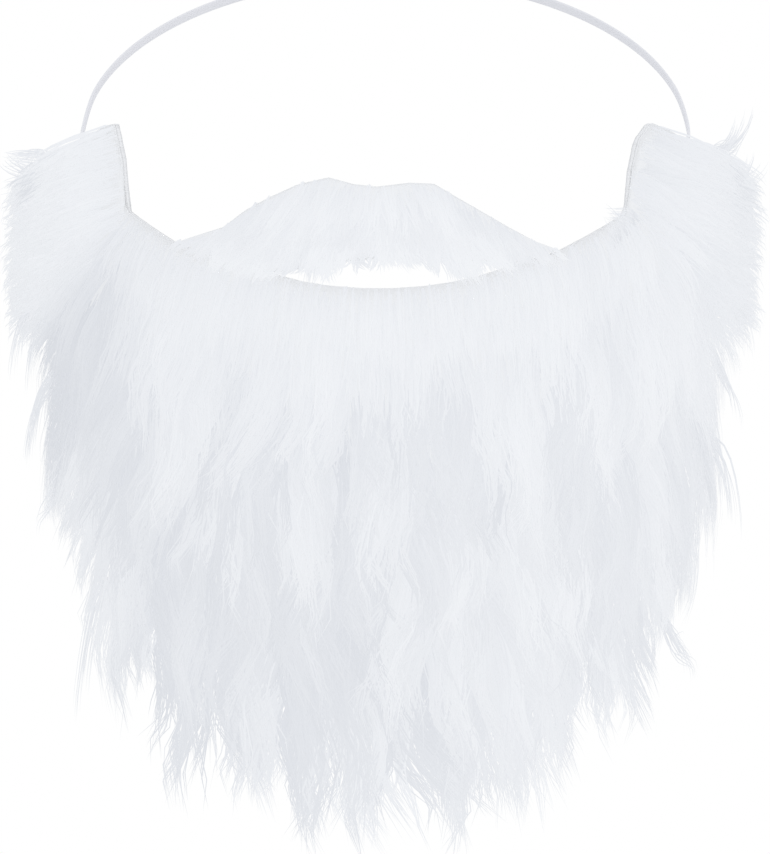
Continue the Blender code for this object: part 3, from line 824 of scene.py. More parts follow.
@dataclass(frozen=True)
class Ground:
    """Where locks root, and how far each root belongs to each region of the panel."""

    turn: np.ndarray
    height: np.ndarray
    below: np.ndarray
    clump: np.ndarray
    away: np.ndarray
    patch: np.ndarray
    tab: np.ndarray
    far: np.ndarray
    cheek: np.ndarray
    body: np.ndarray
    hem: np.ndarray

    @property
    def count(self) -> int:
        """How many roots there are."""
        return len(self.turn)

    @property
    def side(self) -> np.ndarray:
        """The side of the middle that each root is on, as -1 or 1."""
        return np.sign(self.turn)

    @property
    def out(self) -> np.ndarray:
        """How far round the face each root is, in degrees."""
        return np.abs(self.turn)

    def mixed(self, values: Regions, cheek_share: float = 0.7) -> np.ndarray:
        """Blends a value from region to region.

        Args:
            values: Its value in each region.
            cheek_share: How fully the cheeks take their own.

        Returns:
            The value at each root.
        """
        value = values.lip + (values.body - values.lip) * self.body
        value = value + (values.cheek - value) * self.cheek * cheek_share
        return value + (values.tab - value) * self.tab


@dataclass
class PanelPile:
    """The long pile of the panel, in locks that fall over one another."""

    cloth: CutCloth
    turn_limit: float = 85.5
    gap: float = 0.0040
    short_gap: float = 0.0028
    strands: int = 9
    short_strands: int = 7
    steps: int = 7
    short_steps: int = 5
    frizz: float = 0.0007
    short_frizz: float = 0.0003
    short_zone: float = 0.020
    root_heights: tuple[float, float] = (-0.122, 0.048)
    clump_turns: float = 88.0
    clump_heights: tuple[float, float] = (-0.130, 0.050)
    clump_gap_turn: float = 8.5
    clump_gap_height: float = 0.021
    lengths: Regions = Regions(0.014, 0.048, 0.026, 0.024)
    rises: Regions = Regions(0.0050, 0.0150, 0.0068, 0.0165)
    leans: Regions = Regions(2.0, 6.0, 24.0, 66.0)
    waves: Regions = Regions(0.0002, 0.0030, 0.0005, 0.0012)
    curls: Regions = Regions(0.0003, 0.0042, 0.0014, 0.0050)
    own_curls: Regions = Regions(0.0002, 0.0010, 0.0006, 0.0030)
    spreads: Regions = Regions(0.0030, 0.0040, 0.0032, 0.0040)
    gathers: Regions = Regions(0.10, 0.80, 0.30, 0.20)
    hem_length: float = 0.082
    hem_ragged: float = 0.026
    hem_wave: float = 0.035
    hem_curl: float = 0.7
    hem_start: float = 0.070
    hem_blend: float = 0.045
    lip_depth: float = 0.012
    lip_blend: float = 0.022
    cheek_start: float = 44.0
    cheek_blend: float = 16.0
    cheek_low: float = 0.045
    cheek_low_blend: float = 0.030
    cheek_flatter: float = 0.30
    clump_length: float = 0.14
    edge_shorter: float = 0.22
    edge_flatter: float = 0.18
    left_comb: float = 8.0
    rim_comb: float = 14.0
    patch_lean: float = 8.0
    own_lean: float = 3.0
    flare: float = 8.0
    draw: float = 0.30
    hem_draw: float = 0.40
    base_tone: float = 0.80
    clump_tone: float = 0.42
    # Painted shade between tresses: locks are darker away from their tress's middle.
    tress_edge_painted_shade: float = 0.72
    own_tone: float = 0.06
    # Painted light on the tabs, more on the left; painted shade on the left cheek and painted light
    # on the right one.
    tab_painted_light: tuple[float, float] = (0.75, 0.30)
    cheek_painted_light_and_shade: tuple[float, float] = (-0.80, 0.70)
    # Painted light on the pile under the panel's upper edge.
    lip_painted_light: float = 0.35
    # Painted shadow of the hollow that the stitches pull in, and how far it reaches.
    stitch_painted_shade: float = 1.3
    tab_start: float = 40.0
    tab_blend: float = 14.0
    tab_border: float = 0.020
    tab_slant: float = 0.034
    tab_border_blend: float = 0.014
    piece_triangles: int = 190000
    strand_radius: float = 0.00026
    stitch_turn: float = 66.0
    stitch_height: float = 0.036
    stitch_shade_reach: float = 0.006

    def hem_drop(self, across: np.ndarray) -> np.ndarray:
        """How far down tips may reach.

        Args:
            across: Distances from the middle, negative on the left.

        Returns:
            The drops below the mouth line.
        """
        drops = [
            np.interp(np.abs(across), [stop.across for stop in hem], [stop.drop for stop in hem])
            for hem in (LEFT_HEM, RIGHT_HEM)
        ]
        return np.where(across < 0.0, drops[0], drops[1])

    def locks(
        self, turn: np.ndarray, height: np.ndarray, below: np.ndarray, clumps: Clumps,
        random: np.random.Generator,
    ) -> Locks:
        """Works out every lock from where it roots.

        Args:
            turn: The turn of each root.
            height: Its height.
            below: How far it is below the cut's upper edge.
            clumps: The tresses that locks draw together into.
            random: The source of chance.

        Returns:
            The locks.
        """
        ground = self.ground(turn, height, below, clumps)
        count = ground.count
        width = self.cloth.bow.half_width
        length = self.lengths_at(ground, clumps, random)
        lean = self.leans_at(ground, length, clumps, random)
        tip_across = np.sin(np.radians(turn)) * width + np.sin(np.radians(lean)) * length
        drop = self.hem_drop(tip_across) * (1.0 + self.hem_wave * clumps.reach[ground.clump])
        drop -= self.hem_ragged * ground.away * ground.hem
        length = np.minimum(length, drop + height)
        flatter = 1.0 - self.cheek_flatter * ground.far * (1.0 - ground.tab)
        rise = ground.mixed(self.rises)
        rise *= random.uniform(0.7, 1.05, count) * flatter
        rise *= 1.0 - self.edge_flatter * ground.away * ground.body
        wave = ground.mixed(self.waves) * random.uniform(0.7, 1.3, count)
        curl = ground.mixed(self.curls) * clumps.sway[ground.clump]
        curl *= 1.0 + self.hem_curl * ground.hem
        curl += ground.mixed(self.own_curls) * random.normal(0.0, 1.0, count)
        tone = self.tones_at(ground, clumps, random)
        return Locks(
            turn=turn,
            height=height,
            length=length,
            lean=lean,
            rise=rise,
            spread=ground.mixed(self.spreads),
            gather=ground.mixed(self.gathers),
            wave=wave,
            curl=curl,
            phase=clumps.phase[ground.clump] + random.uniform(-0.5, 0.5, count),
            tone=tone,
        )

    def ground(
        self, turn: np.ndarray, height: np.ndarray, below: np.ndarray, clumps: Clumps
    ) -> Ground:
        """Reads the panel's regions and clumps at each root.

        Args:
            turn: The turn of each root.
            height: Its height.
            below: How far it is below the cut's upper edge.
            clumps: The tresses that locks draw together into.

        Returns:
            The roots with their regions.
        """
        clump, away = clumps.nearest(turn, height)
        tab = self.tab_share(turn, height)
        far = ease((np.abs(turn) - self.cheek_start) / self.cheek_blend)
        cheek = far * ease((height + self.cheek_low) / self.cheek_low_blend)
        return Ground(
            turn=turn,
            height=height,
            below=below,
            clump=clump,
            away=np.clip(away, 0.0, 1.0),
            patch=smooth_noise(np.stack([turn / 30.0, height / 0.040], axis=1), 3),
            tab=tab,
            far=far,
            cheek=cheek * (1.0 - tab),
            body=ease((below - self.lip_depth) / self.lip_blend) * (1.0 - tab),
            hem=ease((-height - self.hem_start) / self.hem_blend),
        )

    def lengths_at(
        self, ground: Ground, clumps: Clumps, random: np.random.Generator
    ) -> np.ndarray:
        """Works out how long locks are, before the hem cuts them.

        Args:
            ground: Where they root.
            clumps: The tresses that they draw together into.
            random: The source of chance.

        Returns:
            The lengths.
        """
        length = ground.mixed(self.lengths)
        length = length + (self.hem_length - length) * ground.hem
        longer = self.clump_length * clumps.reach[ground.clump] * (1.0 - 0.8 * ground.hem)
        length *= 1.0 + longer + random.uniform(-0.08, 0.08, ground.count)
        length *= 1.0 - self.edge_shorter * ground.away * ground.body
        return length

    def leans_at(
        self, ground: Ground, length: np.ndarray, clumps: Clumps, random: np.random.Generator
    ) -> np.ndarray:
        """Works out how far locks lean from straight down.

        They fan out to the sides, more on the tabs and less along a tab's rim. The left
        side is combed inwards a little, and locks of one tress lean to its middle.

        Args:
            ground: Where they root.
            length: How long they are.
            clumps: The tresses that they draw together into.
            random: The source of chance.

        Returns:
            The leans in degrees, positive to the right.
        """
        side = ground.side
        tab = ground.tab
        body = ground.body
        lean = side * ground.mixed(self.leans) * np.clip(ground.out / 35.0, 0.0, 1.0)
        combed = self.left_comb * ease((-ground.turn - 8.0) / 25.0) * (1.0 - tab)
        lean -= combed * ease((ground.height + 0.085) / 0.05)
        lean -= side * self.rim_comb * tab * ease((0.008 - ground.below) / 0.005)
        own = random.normal(0.0, self.own_lean, ground.count) * (0.4 + 2.2 * tab)
        lean += self.patch_lean * ground.patch * body + own
        lean += side * self.flare * body * ease((ground.out - 40.0) / 25.0)
        drawn = np.radians(clumps.turn[ground.clump] - ground.turn) * self.cloth.bow.half_width
        drawn *= self.draw + self.hem_draw * ground.hem
        lean += np.degrees(np.arctan2(drawn, length)) * body
        return lean

    def tones_at(
        self, ground: Ground, clumps: Clumps, random: np.random.Generator
    ) -> np.ndarray:
        """Works out each lock's tone, with painted light and shade.

        A tress is painted darker towards its edge, as shade between it and the next. The tabs, the
        right cheek and the lip get painted light, the left cheek painted shade, and a painted
        shadow darkens the pile round each stitch.

        Args:
            ground: Where they root.
            clumps: The tresses that they draw together into.
            random: The source of chance.

        Returns:
            The tones, from 0 for the painted shade colour to 1 for the light one.
        """
        left = ground.side < 0.0
        body = ground.body
        own = random.uniform(-self.own_tone, self.own_tone, ground.count)
        tone = self.base_tone + self.clump_tone * clumps.tone[ground.clump]
        # Painted shade towards the tress's edge.
        tone -= self.tress_edge_painted_shade * ground.away
        tone = 0.5 + (tone - 0.5) * (0.20 + 0.80 * body) + own
        # Painted light on the tabs, painted shade on the left cheek and painted light on the right
        # cheek.
        painted_tab_light = ground.tab * np.where(left, *self.tab_painted_light)
        painted_cheek_light_and_shade = ground.cheek * np.where(left, *self.cheek_painted_light_and_shade)
        tone += painted_tab_light + painted_cheek_light_and_shade
        # Painted light on the lip.
        tone += self.lip_painted_light * (1.0 - body) * (1.0 - ground.tab) * (1.0 - ground.far)
        # Painted shadow in a small hollow round each stitch.
        across = np.radians(ground.out - self.stitch_turn) * self.cloth.bow.half_width
        from_stitch = np.hypot(across, ground.height - self.stitch_height)
        tone -= self.stitch_painted_shade * np.exp(-((from_stitch / self.stitch_shade_reach) ** 2))
        return np.clip(tone, 0.0, 1.0)

    def tab_share(self, turn: np.ndarray, height: np.ndarray) -> np.ndarray:
        """How far each place belongs to a sideburn tab.

        Args:
            turn: Turns round the face in degrees.
            height: Heights above the mouth line.

        Returns:
            Shares from 0 to 1. The border slants from the front edge down to the rear.
        """
        out = np.abs(turn)
        border = self.tab_border - self.tab_slant * ease((out - 44.0) / 42.0)
        above = ease((height - border) / self.tab_border_blend + 0.5)
        return ease((out - self.tab_start) / self.tab_blend) * above

    def build(
        self, finish: bpy.types.Material, random: np.random.Generator
    ) -> list[bpy.types.Object]:
        """Grows the pile and splits it into pieces from left to right.

        Args:
            finish: The pile's material.
            random: The source of chance.

        Returns:
            The pieces.
        """
        columns = np.linspace(-86.0, 86.0, 87)
        _, top_line = self.cloth.edges(columns)
        clumps = Clumps.scattered(
            self.clump_turns, self.clump_heights, self.clump_gap_turn, self.clump_gap_height, random
        )
        parts = []
        for short in (False, True):
            gap = self.short_gap if short else self.gap
            turn, height = scattered(
                self.cloth, (-self.turn_limit, self.turn_limit), self.root_heights, gap, random
            )
            below = np.interp(turn, columns, top_line) - height
            near_edge = (below < self.short_zone) | (self.tab_share(turn, height) > 0.5)
            kept = near_edge if short else ~near_edge
            locks = self.locks(turn[kept], height[kept], below[kept], clumps, random)
            cut = StrandCut(
                strands=self.short_strands if short else self.strands,
                steps=self.short_steps if short else self.steps,
                radius=self.strand_radius,
                frizz=self.short_frizz if short else self.frizz,
            )
            strands = grow(locks, cut, self.cloth, random)
            log.info("panel: %d locks, %d triangles", locks.count, strands.triangles)
            parts.append(strands)
        pieces = []
        for part, suffix in zip(parts, ("", "_short")):
            order = np.argsort(part.paths[:, 0, 0], kind="stable")
            shares = max(1, math.ceil(part.triangles / self.piece_triangles))
            for number, which in enumerate(np.array_split(order, shares)):
                name = f"panel_pile{suffix}_{number + 1}"
                pieces.append(add_pile(name, part.chosen(which), finish, "beard_fur"))
        return pieces


@dataclass(frozen=True)
class Wisp:
    """A loose wisp: where it roots, and how far its tip goes out, across and down."""

    turn: float
    height: float
    out: float
    across: float
    fall: float
    curl: float


WISPS = (
    Wisp(-74.0, 0.0365, 0.0200, 0.0000, -0.0035, 0.0015),
    Wisp(-76.0, 0.0335, 0.0205, 0.0000, -0.0020, -0.0012),
    Wisp(-78.0, 0.0300, 0.0190, 0.0000, -0.0010, 0.0015),
    Wisp(-80.0, 0.0200, 0.0175, 0.0000, 0.0020, -0.0010),
    Wisp(-82.0, 0.0080, 0.0170, 0.0000, 0.0120, 0.0012),
    Wisp(-82.0, 0.0000, 0.0150, 0.0000, 0.0260, 0.0022),
    Wisp(-80.0, 0.0040, 0.0105, 0.0000, 0.0390, -0.0016),
    Wisp(-78.0, -0.0300, 0.0125, 0.0000, 0.0220, 0.0035),
    Wisp(-74.0, -0.0560, 0.0120, 0.0000, 0.0230, -0.0035),
    Wisp(-62.0, -0.0930, 0.0110, 0.0000, 0.0330, 0.0050),
    Wisp(74.0, 0.0375, 0.0180, 0.0000, -0.0140, -0.0015),
    Wisp(76.0, 0.0360, 0.0120, 0.0000, -0.0080, 0.0020),
    Wisp(84.0, 0.0280, 0.0140, 0.0000, -0.0110, -0.0012),
    Wisp(80.0, 0.0300, 0.0195, 0.0000, -0.0040, -0.0015),
    Wisp(81.0, 0.0230, 0.0190, 0.0000, 0.0000, 0.0016),
    Wisp(82.0, 0.0110, 0.0180, 0.0000, 0.0060, -0.0018),
    Wisp(80.0, 0.0020, 0.0155, 0.0000, 0.0260, 0.0020),
    Wisp(78.0, -0.0160, 0.0120, 0.0000, 0.0330, -0.0026),
    Wisp(76.0, -0.0490, 0.0140, 0.0000, 0.0240, 0.0040),
    Wisp(62.0, -0.0930, 0.0130, 0.0000, 0.0320, -0.0055),
    Wisp(44.0, 0.0110, 0.0030, -0.0050, -0.0060, -0.0010),
    Wisp(46.0, 0.0130, 0.0030, -0.0070, -0.0055, 0.0008),
    Wisp(48.0, 0.0150, 0.0030, -0.0100, -0.0045, -0.0008),
    Wisp(49.0, 0.0170, 0.0030, -0.0120, -0.0035, 0.0008),
    Wisp(-12.0, 0.0060, 0.0020, -0.0010, 0.0085, 0.0006),
)


@dataclass
class LooseWisps:
    """Thin wisps that stand out from the pile at its edges."""

    cloth: CutCloth
    strands: int = 22
    steps: int = 9
    spread: float = 0.0026
    foot: float = 0.0035
    strand_radius: float = 0.00020

    def build(self, finish: bpy.types.Material, random: np.random.Generator) -> bpy.types.Object:
        """Grows each wisp's strands from one small patch to nearby tips.

        Args:
            finish: The pile's material.
            random: The source of chance.

        Returns:
            The piece.
        """
        bow = self.cloth.bow
        s = np.linspace(0.0, 1.0, self.steps)[None, :, None]
        paths = []
        for wisp in WISPS:
            turn = np.full(self.strands, wisp.turn)
            turn += np.degrees(random.normal(0.0, 0.5, self.strands) * self.spread / bow.half_width)
            height = wisp.height + random.normal(0.0, 0.5, self.strands) * self.spread
            roots = bow.points(turn, height, np.full(self.strands, self.foot))[:, None]
            out = bow.outward(turn, height)[:, None]
            reach = random.uniform(0.55, 1.05, (self.strands, 1, 1))
            curl = wisp.curl * random.uniform(0.4, 1.6, (self.strands, 1, 1))
            away = out * wisp.out * (1.0 - (1.0 - s) ** 1.8) * reach
            drop = np.array([wisp.across, 0.0, -wisp.fall]) * s**1.3 * reach
            along = out[:, :, [1, 0, 2]] * (-1.0, 1.0, 1.0)
            turned = (along * 0.3 + np.array([0.0, 0.0, 1.0])) * np.sin(math.pi * 1.4 * s) * curl
            paths.append(roots + away + drop + turned)
        paths = np.concatenate(paths)
        taper = np.interp(s[0, :, 0], [0.0, 0.5, 1.0], [1.0, 0.75, 0.1])
        radii = self.strand_radius * taper * random.uniform(0.7, 1.2, (len(paths), 1))
        ahead = np.broadcast_to((0.0, -1.0, 0.2), paths.shape)
        strands = Strands(paths, radii, random.uniform(0.4, 0.8, len(paths)), ahead)
        return add_pile("loose_wisps", strands, finish, "beard_fur")


@dataclass
class MoustachePile:
    """The short pile of the moustache, combed down and outwards over the mouth."""

    cloth: CutCloth
    turn_limit: float = 40.0
    gap: float = 0.0027
    strands: int = 12
    steps: int = 5
    length: float = 0.0125
    rise: float = 0.0052
    spread: float = 0.0030
    strand_radius: float = 0.00022
    frizz: float = 0.0004
    wave: float = 0.0004
    curl: float = 0.0012
    gather: float = 0.45
    overhang: float = 0.0030
    least_length: float = 0.004
    parting: float = -0.006
    parting_width: float = 0.005
    parting_lift: float = 0.0045
    lobe: float = 0.0195
    lobe_width: float = 0.006
    lobe_drop: float = 0.0055

    def build(self, finish: bpy.types.Material, random: np.random.Generator) -> bpy.types.Object:
        """Grows the moustache's pile.

        Args:
            finish: The pile's material.
            random: The source of chance.

        Returns:
            The piece.
        """
        turn, height = scattered(
            self.cloth, (-self.turn_limit, self.turn_limit), (0.0, 0.032), self.gap, random
        )
        columns = np.linspace(-self.turn_limit, self.turn_limit, 81)
        bottom_line, top_line = self.cloth.edges(columns)
        cut = np.isfinite(bottom_line)
        bottom = np.interp(turn, columns[cut], bottom_line[cut])
        top = np.interp(turn, columns[cut], top_line[cut])
        count = len(turn)
        across = np.sin(np.radians(turn)) * self.cloth.bow.half_width
        outer = np.clip(np.abs(across) / 0.045, 0.0, 1.0)
        patch = smooth_noise(np.stack([across / 0.016, height / 0.020], axis=1), 8)
        share = np.clip((height - bottom) / np.maximum(top - bottom, 0.002), 0.0, 1.0)
        room = (height - bottom) + self.overhang * (1.0 + 0.5 * patch)
        parted = np.exp(-(((across - self.parting) / self.parting_width) ** 2))
        lobe = np.exp(-(((across - self.lobe) / self.lobe_width) ** 2))
        room += (self.lobe_drop * lobe - self.parting_lift * parted) * (share < 0.5)
        room = np.maximum(room, self.least_length)
        length = np.minimum(self.length * (1.0 + 0.25 * patch), room)
        length *= random.uniform(0.85, 1.1, count)
        lean = np.sign(across) * (6.0 + 34.0 * outer) + 7.0 * patch
        lean += random.normal(0.0, 6.0, count)
        crown = np.sqrt(np.clip(4.0 * share * (1.0 - share), 0.0, 1.0))
        rise = self.rise * (0.35 + 0.65 * crown)
        rise *= np.clip((top - bottom) / 0.020, 0.35, 1.0) * random.uniform(0.75, 1.1, count)
        locks = Locks(
            turn=turn,
            height=height,
            length=length,
            lean=lean,
            rise=rise,
            spread=np.full(count, self.spread),
            gather=np.full(count, self.gather),
            wave=self.wave * random.uniform(0.5, 1.5, count),
            curl=self.curl * random.normal(0.0, 1.0, count),
            phase=random.uniform(0.0, 2.0 * math.pi, count),
            tone=np.clip(0.82 + 0.25 * patch + random.uniform(-0.08, 0.08, count), 0.0, 1.0),
        )
        strand_cut = StrandCut(self.strands, self.steps, self.strand_radius, self.frizz)
        strands = grow(locks, strand_cut, self.cloth, random)
        log.info("moustache: %d locks, %d triangles", locks.count, strands.triangles)
        return add_pile("moustache_pile", strands, finish, "moustache_fur")


@dataclass
class UnderPile:
    """The dense foot of the pile, which the long strands fall over."""

    cloth: CutCloth
    name: str
    node: str
    turn_limit: float
    fullest: float
    rim: float = 0.0006
    lay: float = 0.00165
    edge_reach: float = 0.014
    columns: int = 160
    rows: int = 16

    def build(self, finish: bpy.types.Material) -> bpy.types.Object:
        """Makes the foot as a closed mat over the cloth's cut.

        Args:
            finish: The mat's material.

        Returns:
            The piece.
        """

        def thickness(
            turn: np.ndarray, height: np.ndarray, low: np.ndarray, high: np.ndarray
        ) -> np.ndarray:
            """The mat's thickness, thin along every cut edge."""
            from_edge = np.minimum(high - height, height - low)
            share = ease(from_edge / self.edge_reach + 0.05)
            rear = ease((self.turn_limit + 1.5 - np.abs(turn)) / 8.0)
            full = self.fullest * np.clip((high - low) / 0.020, 0.3, 1.0)
            swell = 1.0 + 0.10 * smooth_noise(np.stack([turn / 9.0, height / 0.020], axis=1), 5)
            return self.rim + (full * swell - self.rim) * share * rear

        sheet = BowSheet(self.cloth, self.turn_limit, self.columns, self.rows)
        mesh = sheet.mesh(self.name, self.lay, thickness)
        piece = add_piece(self.name, mesh, finish)
        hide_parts(self.node)
        return piece


@dataclass
class BackingCloth:
    """A knitted backing cloth on the bow, with its cut edge."""

    cloth: CutCloth
    name: str
    node: str
    turn_limit: float
    rests_on: list[str]
    wall: float = 0.0016
    columns: int = 172
    rows: int = 14

    def build(self, finish: bpy.types.Material) -> bpy.types.Object:
        """Makes the cloth and logs its size laid flat.

        Args:
            finish: The cloth's material.

        Returns:
            The piece.
        """
        sheet = BowSheet(self.cloth, self.turn_limit, self.columns, self.rows)
        mesh = sheet.mesh(self.name, 0.0, lambda turn, *_: np.full(turn.shape, self.wall))
        piece = add_piece(self.name, mesh, finish)
        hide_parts(self.node)
        width, length, area = sheet.flat_size()
        log.info("%s: %.3f by %.3f m, %.4f m2", self.name, width, length, area)
        return piece


@dataclass
class Elastic:
    """The flat elastic, laid on the face side of both tabs and looped round the head."""

    bow: FaceBow
    width: float = 0.003
    thickness: float = 0.0009
    clearance: float = 0.0005
    half_span: float = 0.0932
    shift: float = 0.0008
    depth: float = 0.095
    rise: float = 0.0545
    start_turn: float = 59.0
    leave_turn: float = 74.0
    start_height: float = 0.0335
    leave_height: float = 0.0415
    rear_run: float = 0.012
    rear_climb: float = 0.0055
    turn_over: float = 0.040
    stations: int = 320
    ribs: int = 5
    rib_relief: float = 0.00007

    def route(self) -> np.ndarray:
        """Middle line of the elastic, as in the CAD source.

        Returns:
            The points it passes, from the left tack to the right one.
        """
        lay = -(self.clearance + 0.5 * self.thickness)
        turns = np.linspace(self.start_turn, self.leave_turn, 4)
        heights = np.linspace(self.start_height, self.leave_height, 4)
        laid = self.bow.points(turns, heights, np.full(4, lay))
        angle = np.linspace(0.0, math.pi, 13)
        loop = np.stack([
            self.shift - self.half_span * np.cos(angle),
            laid[-1, 1] + self.rear_run + self.depth * np.sin(angle),
            laid[-1, 2] + self.rear_climb + self.rise * np.sin(angle),
        ], axis=1)
        return np.concatenate([laid * (-1.0, 1.0, 1.0), loop, laid[::-1]])

    def line(self) -> np.ndarray:
        """Evenly spaced points on the smooth curve through the route.

        Returns:
            One point for each station.
        """
        return smooth_line(self.route(), self.stations)

    def section(self) -> np.ndarray:
        """The band's cross section: round edges and ribs on both flat sides.

        Returns:
            Points as (across, out), counter-clockwise.
        """
        half = 0.5 * self.width
        rib = 0.5 * self.thickness
        across = np.linspace(-1.0, 1.0, 4 * self.ribs + 1)
        edge = np.sqrt(np.clip(1.0 - np.abs(across) ** 6, 0.0, 1.0))
        ribbed = rib - self.rib_relief * (0.5 - 0.5 * np.cos(across * math.pi * self.ribs))
        out = ribbed * np.maximum(edge, 0.45)
        upper = np.stack([across[::-1] * half, out[::-1]], axis=1)
        lower = np.stack([across * half, -out], axis=1)
        return np.concatenate([upper, lower])

    def build(self, finish: bpy.types.Material) -> bpy.types.Object:
        """Sweeps the ribbed section along the line.

        Args:
            finish: The elastic's material.

        Returns:
            The piece.
        """
        line = self.line()
        section = self.section()
        ahead = np.gradient(line, axis=0)
        ahead /= np.linalg.norm(ahead, axis=1, keepdims=True)
        step = np.linalg.norm(line[1] - line[0])
        laid = math.radians(self.leave_turn - self.start_turn) * self.bow.half_width
        along = np.minimum(np.arange(self.stations), np.arange(self.stations)[::-1]) * step
        tilt = math.atan2(self.rise, self.depth) * ease((along - laid) / self.turn_over)
        upright = np.stack([np.zeros_like(tilt), -np.sin(tilt), np.cos(tilt)], axis=1)
        wide = upright - ahead * (upright * ahead).sum(axis=1, keepdims=True)
        wide /= np.linalg.norm(wide, axis=1, keepdims=True)
        thick = np.cross(ahead, wide)
        rings = (
            line[:, None, :]
            + wide[:, None, :] * section[None, :, 0:1]
            + thick[:, None, :] * section[None, :, 1:2]
        )
        piece = add_piece("elastic_band", loft_mesh("elastic_band", [rings]), finish)
        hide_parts("elastic_strap")
        return piece


@dataclass
class BarTack:
    """The bar of stitches that holds one end of the elastic."""

    side: Side
    elastic: Elastic
    length: float = 0.0045
    width: float = 0.0046
    margin: float = 0.0015
    thread: float = 0.00017
    gap: float = 0.0003
    passes: int = 13
    bars: tuple[float, ...] = (-0.62, 0.0, 0.62)
    bar_lay: float = 1.6

    def build(self, finish: bpy.types.Material) -> bpy.types.Object:
        """Sews the zigzag and the three bars across it.

        Args:
            finish: The thread's material.

        Returns:
            The piece.
        """
        band = self.elastic
        bow = band.bow
        turn = band.start_turn + math.degrees((0.5 * self.length + self.margin) / bow.depth)
        share = (turn - band.start_turn) / (band.leave_turn - band.start_turn)
        height = band.start_height + (band.leave_height - band.start_height) * share
        lay = -(band.clearance + band.thickness + self.gap + self.thread)
        places = bow.points(
            np.array([turn, band.start_turn, band.leave_turn]),
            np.array([height, band.start_height, band.leave_height]),
            np.array([lay, 0.0, 0.0]),
        )
        out = bow.outward(np.array([turn]), np.array([height]))[0]
        ahead = places[2] - places[1]
        ahead -= out * (ahead @ out)
        ahead /= np.linalg.norm(ahead)
        wide = np.cross(out, ahead)
        half_length = 0.5 * self.length - self.thread
        half_width = 0.5 * self.width - self.thread
        turns = self.passes * 2
        zigzag = np.array([
            (half_length * (2.0 * i / (turns - 1) - 1.0), half_width * (1 if i % 2 else -1))
            for i in range(turns)
        ])
        paths = [zigzag]
        for bar in self.bars:
            across = bar * half_width
            paths.append(np.array([(-half_length, across), (half_length, across)]))
        tubes = []
        for number, path in enumerate(paths):
            drop = 0.0 if number == 0 else -self.bar_lay * self.thread
            line = places[0] + path[:, :1] * ahead + path[:, 1:] * wide + out * drop
            line = line * (self.side.value, 1.0, 1.0)
            tubes.append(thread_rings(smooth_line(line, 12 * len(line)), self.thread))
        name = f"bar_tack_{self.side.name.lower()}"
        piece = add_piece(name, loft_mesh(name, tubes), finish)
        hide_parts(f"strap_tack_{self.side.name.lower()}")
        return piece


def value_group(
    name: str, inputs: dict[str, str], outputs: dict[str, str]
) -> tuple[bpy.types.NodeTree, bpy.types.Node, bpy.types.Node]:
    """An empty shader group with its sockets.

    Args:
        name: The group's name.
        inputs: Socket types by name.
        outputs: Socket types by name.

    Returns:
        The group, its input node and its output node.
    """
    group = bpy.data.node_groups.new(name, "ShaderNodeTree")
    for socket, kind in inputs.items():
        group.interface.new_socket(name=socket, in_out="INPUT", socket_type=kind)
    for socket, kind in outputs.items():
        group.interface.new_socket(name=socket, in_out="OUTPUT", socket_type=kind)
    return group, group.nodes.new("NodeGroupInput"), group.nodes.new("NodeGroupOutput")


def pile_group() -> bpy.types.NodeTree:
    """The pile's colour, painted darker towards each strand's root and where its tone is low, as
    painted shade.

    Returns:
        A group that gives the Colour from a painted shade colour, a light colour and Tip Share, the
        weight of the painted shade towards the root.
    """
    group, given, result = value_group(
        "Pile Strand",
        {"Deep": "NodeSocketColor", "Light": "NodeSocketColor", "Tip Share": "NodeSocketFloat"},
        {"Colour": "NodeSocketColor"},
    )
    nodes = group.nodes
    links = group.links
    along = nodes.new("ShaderNodeAttribute")
    along.attribute_name = "along"
    tone = nodes.new("ShaderNodeAttribute")
    tone.attribute_name = "tone"
    # Painted shade: points nearer the root, and of lower tone, take more of the shade colour.
    shade = nodes.new("ShaderNodeMix")
    ramp = nodes.new("ShaderNodeMix")
    ramp.data_type = "RGBA"
    links.new(given.outputs["Tip Share"], shade.inputs["Factor"])
    links.new(tone.outputs["Fac"], shade.inputs["A"])
    links.new(along.outputs["Fac"], shade.inputs["B"])
    links.new(shade.outputs["Result"], ramp.inputs["Factor"])
    links.new(given.outputs["Deep"], ramp.inputs["A"])
    links.new(given.outputs["Light"], ramp.inputs["B"])
    links.new(ramp.outputs["Result"], result.inputs["Colour"])
    return group


def new_material(
    name: str, roughness: float, specular: float = 0.5
) -> tuple[bpy.types.Material, bpy.types.Node]:
    """A material with one main shader.

    Args:
        name: The material's name.
        roughness: How rough it is.
        specular: Its level of plain reflection.

    Returns:
        The material and its main shader.
    """
    material = bpy.data.materials.new(name)
    material.use_nodes = True
    shader = material.node_tree.nodes["Principled BSDF"]
    shader.inputs["Roughness"].default_value = roughness
    shader.inputs["Specular IOR Level"].default_value = specular
    return material, shader


@dataclass(frozen=True)
class PileFinish:
    """White synthetic pile, with a painted bluish shade towards the strands' roots and deep in the
    locks.
    """

    name: str = "white pile"
    light: tuple[float, float, float] = (0.955, 0.96, 0.97)
    # The second colour is painted shade, a bluish grey for the roots and the depth of the locks.
    deep: tuple[float, float, float] = (0.735, 0.75, 0.785)
    tip_share: float = 0.30
    roughness: float = 0.6
    specular: float = 0.12

    def material(self) -> bpy.types.Material:
        """Builds the material.

        Returns:
            A material that reads the attributes along and tone.
        """
        material, shader = new_material(self.name, self.roughness, self.specular)
        links = material.node_tree.links
        strand = material.node_tree.nodes.new("ShaderNodeGroup")
        strand.node_tree = pile_group()
        strand.inputs["Deep"].default_value = (*self.deep, 1.0)
        strand.inputs["Light"].default_value = (*self.light, 1.0)
        strand.inputs["Tip Share"].default_value = self.tip_share
        links.new(strand.outputs["Colour"], shader.inputs["Base Color"])
        return material


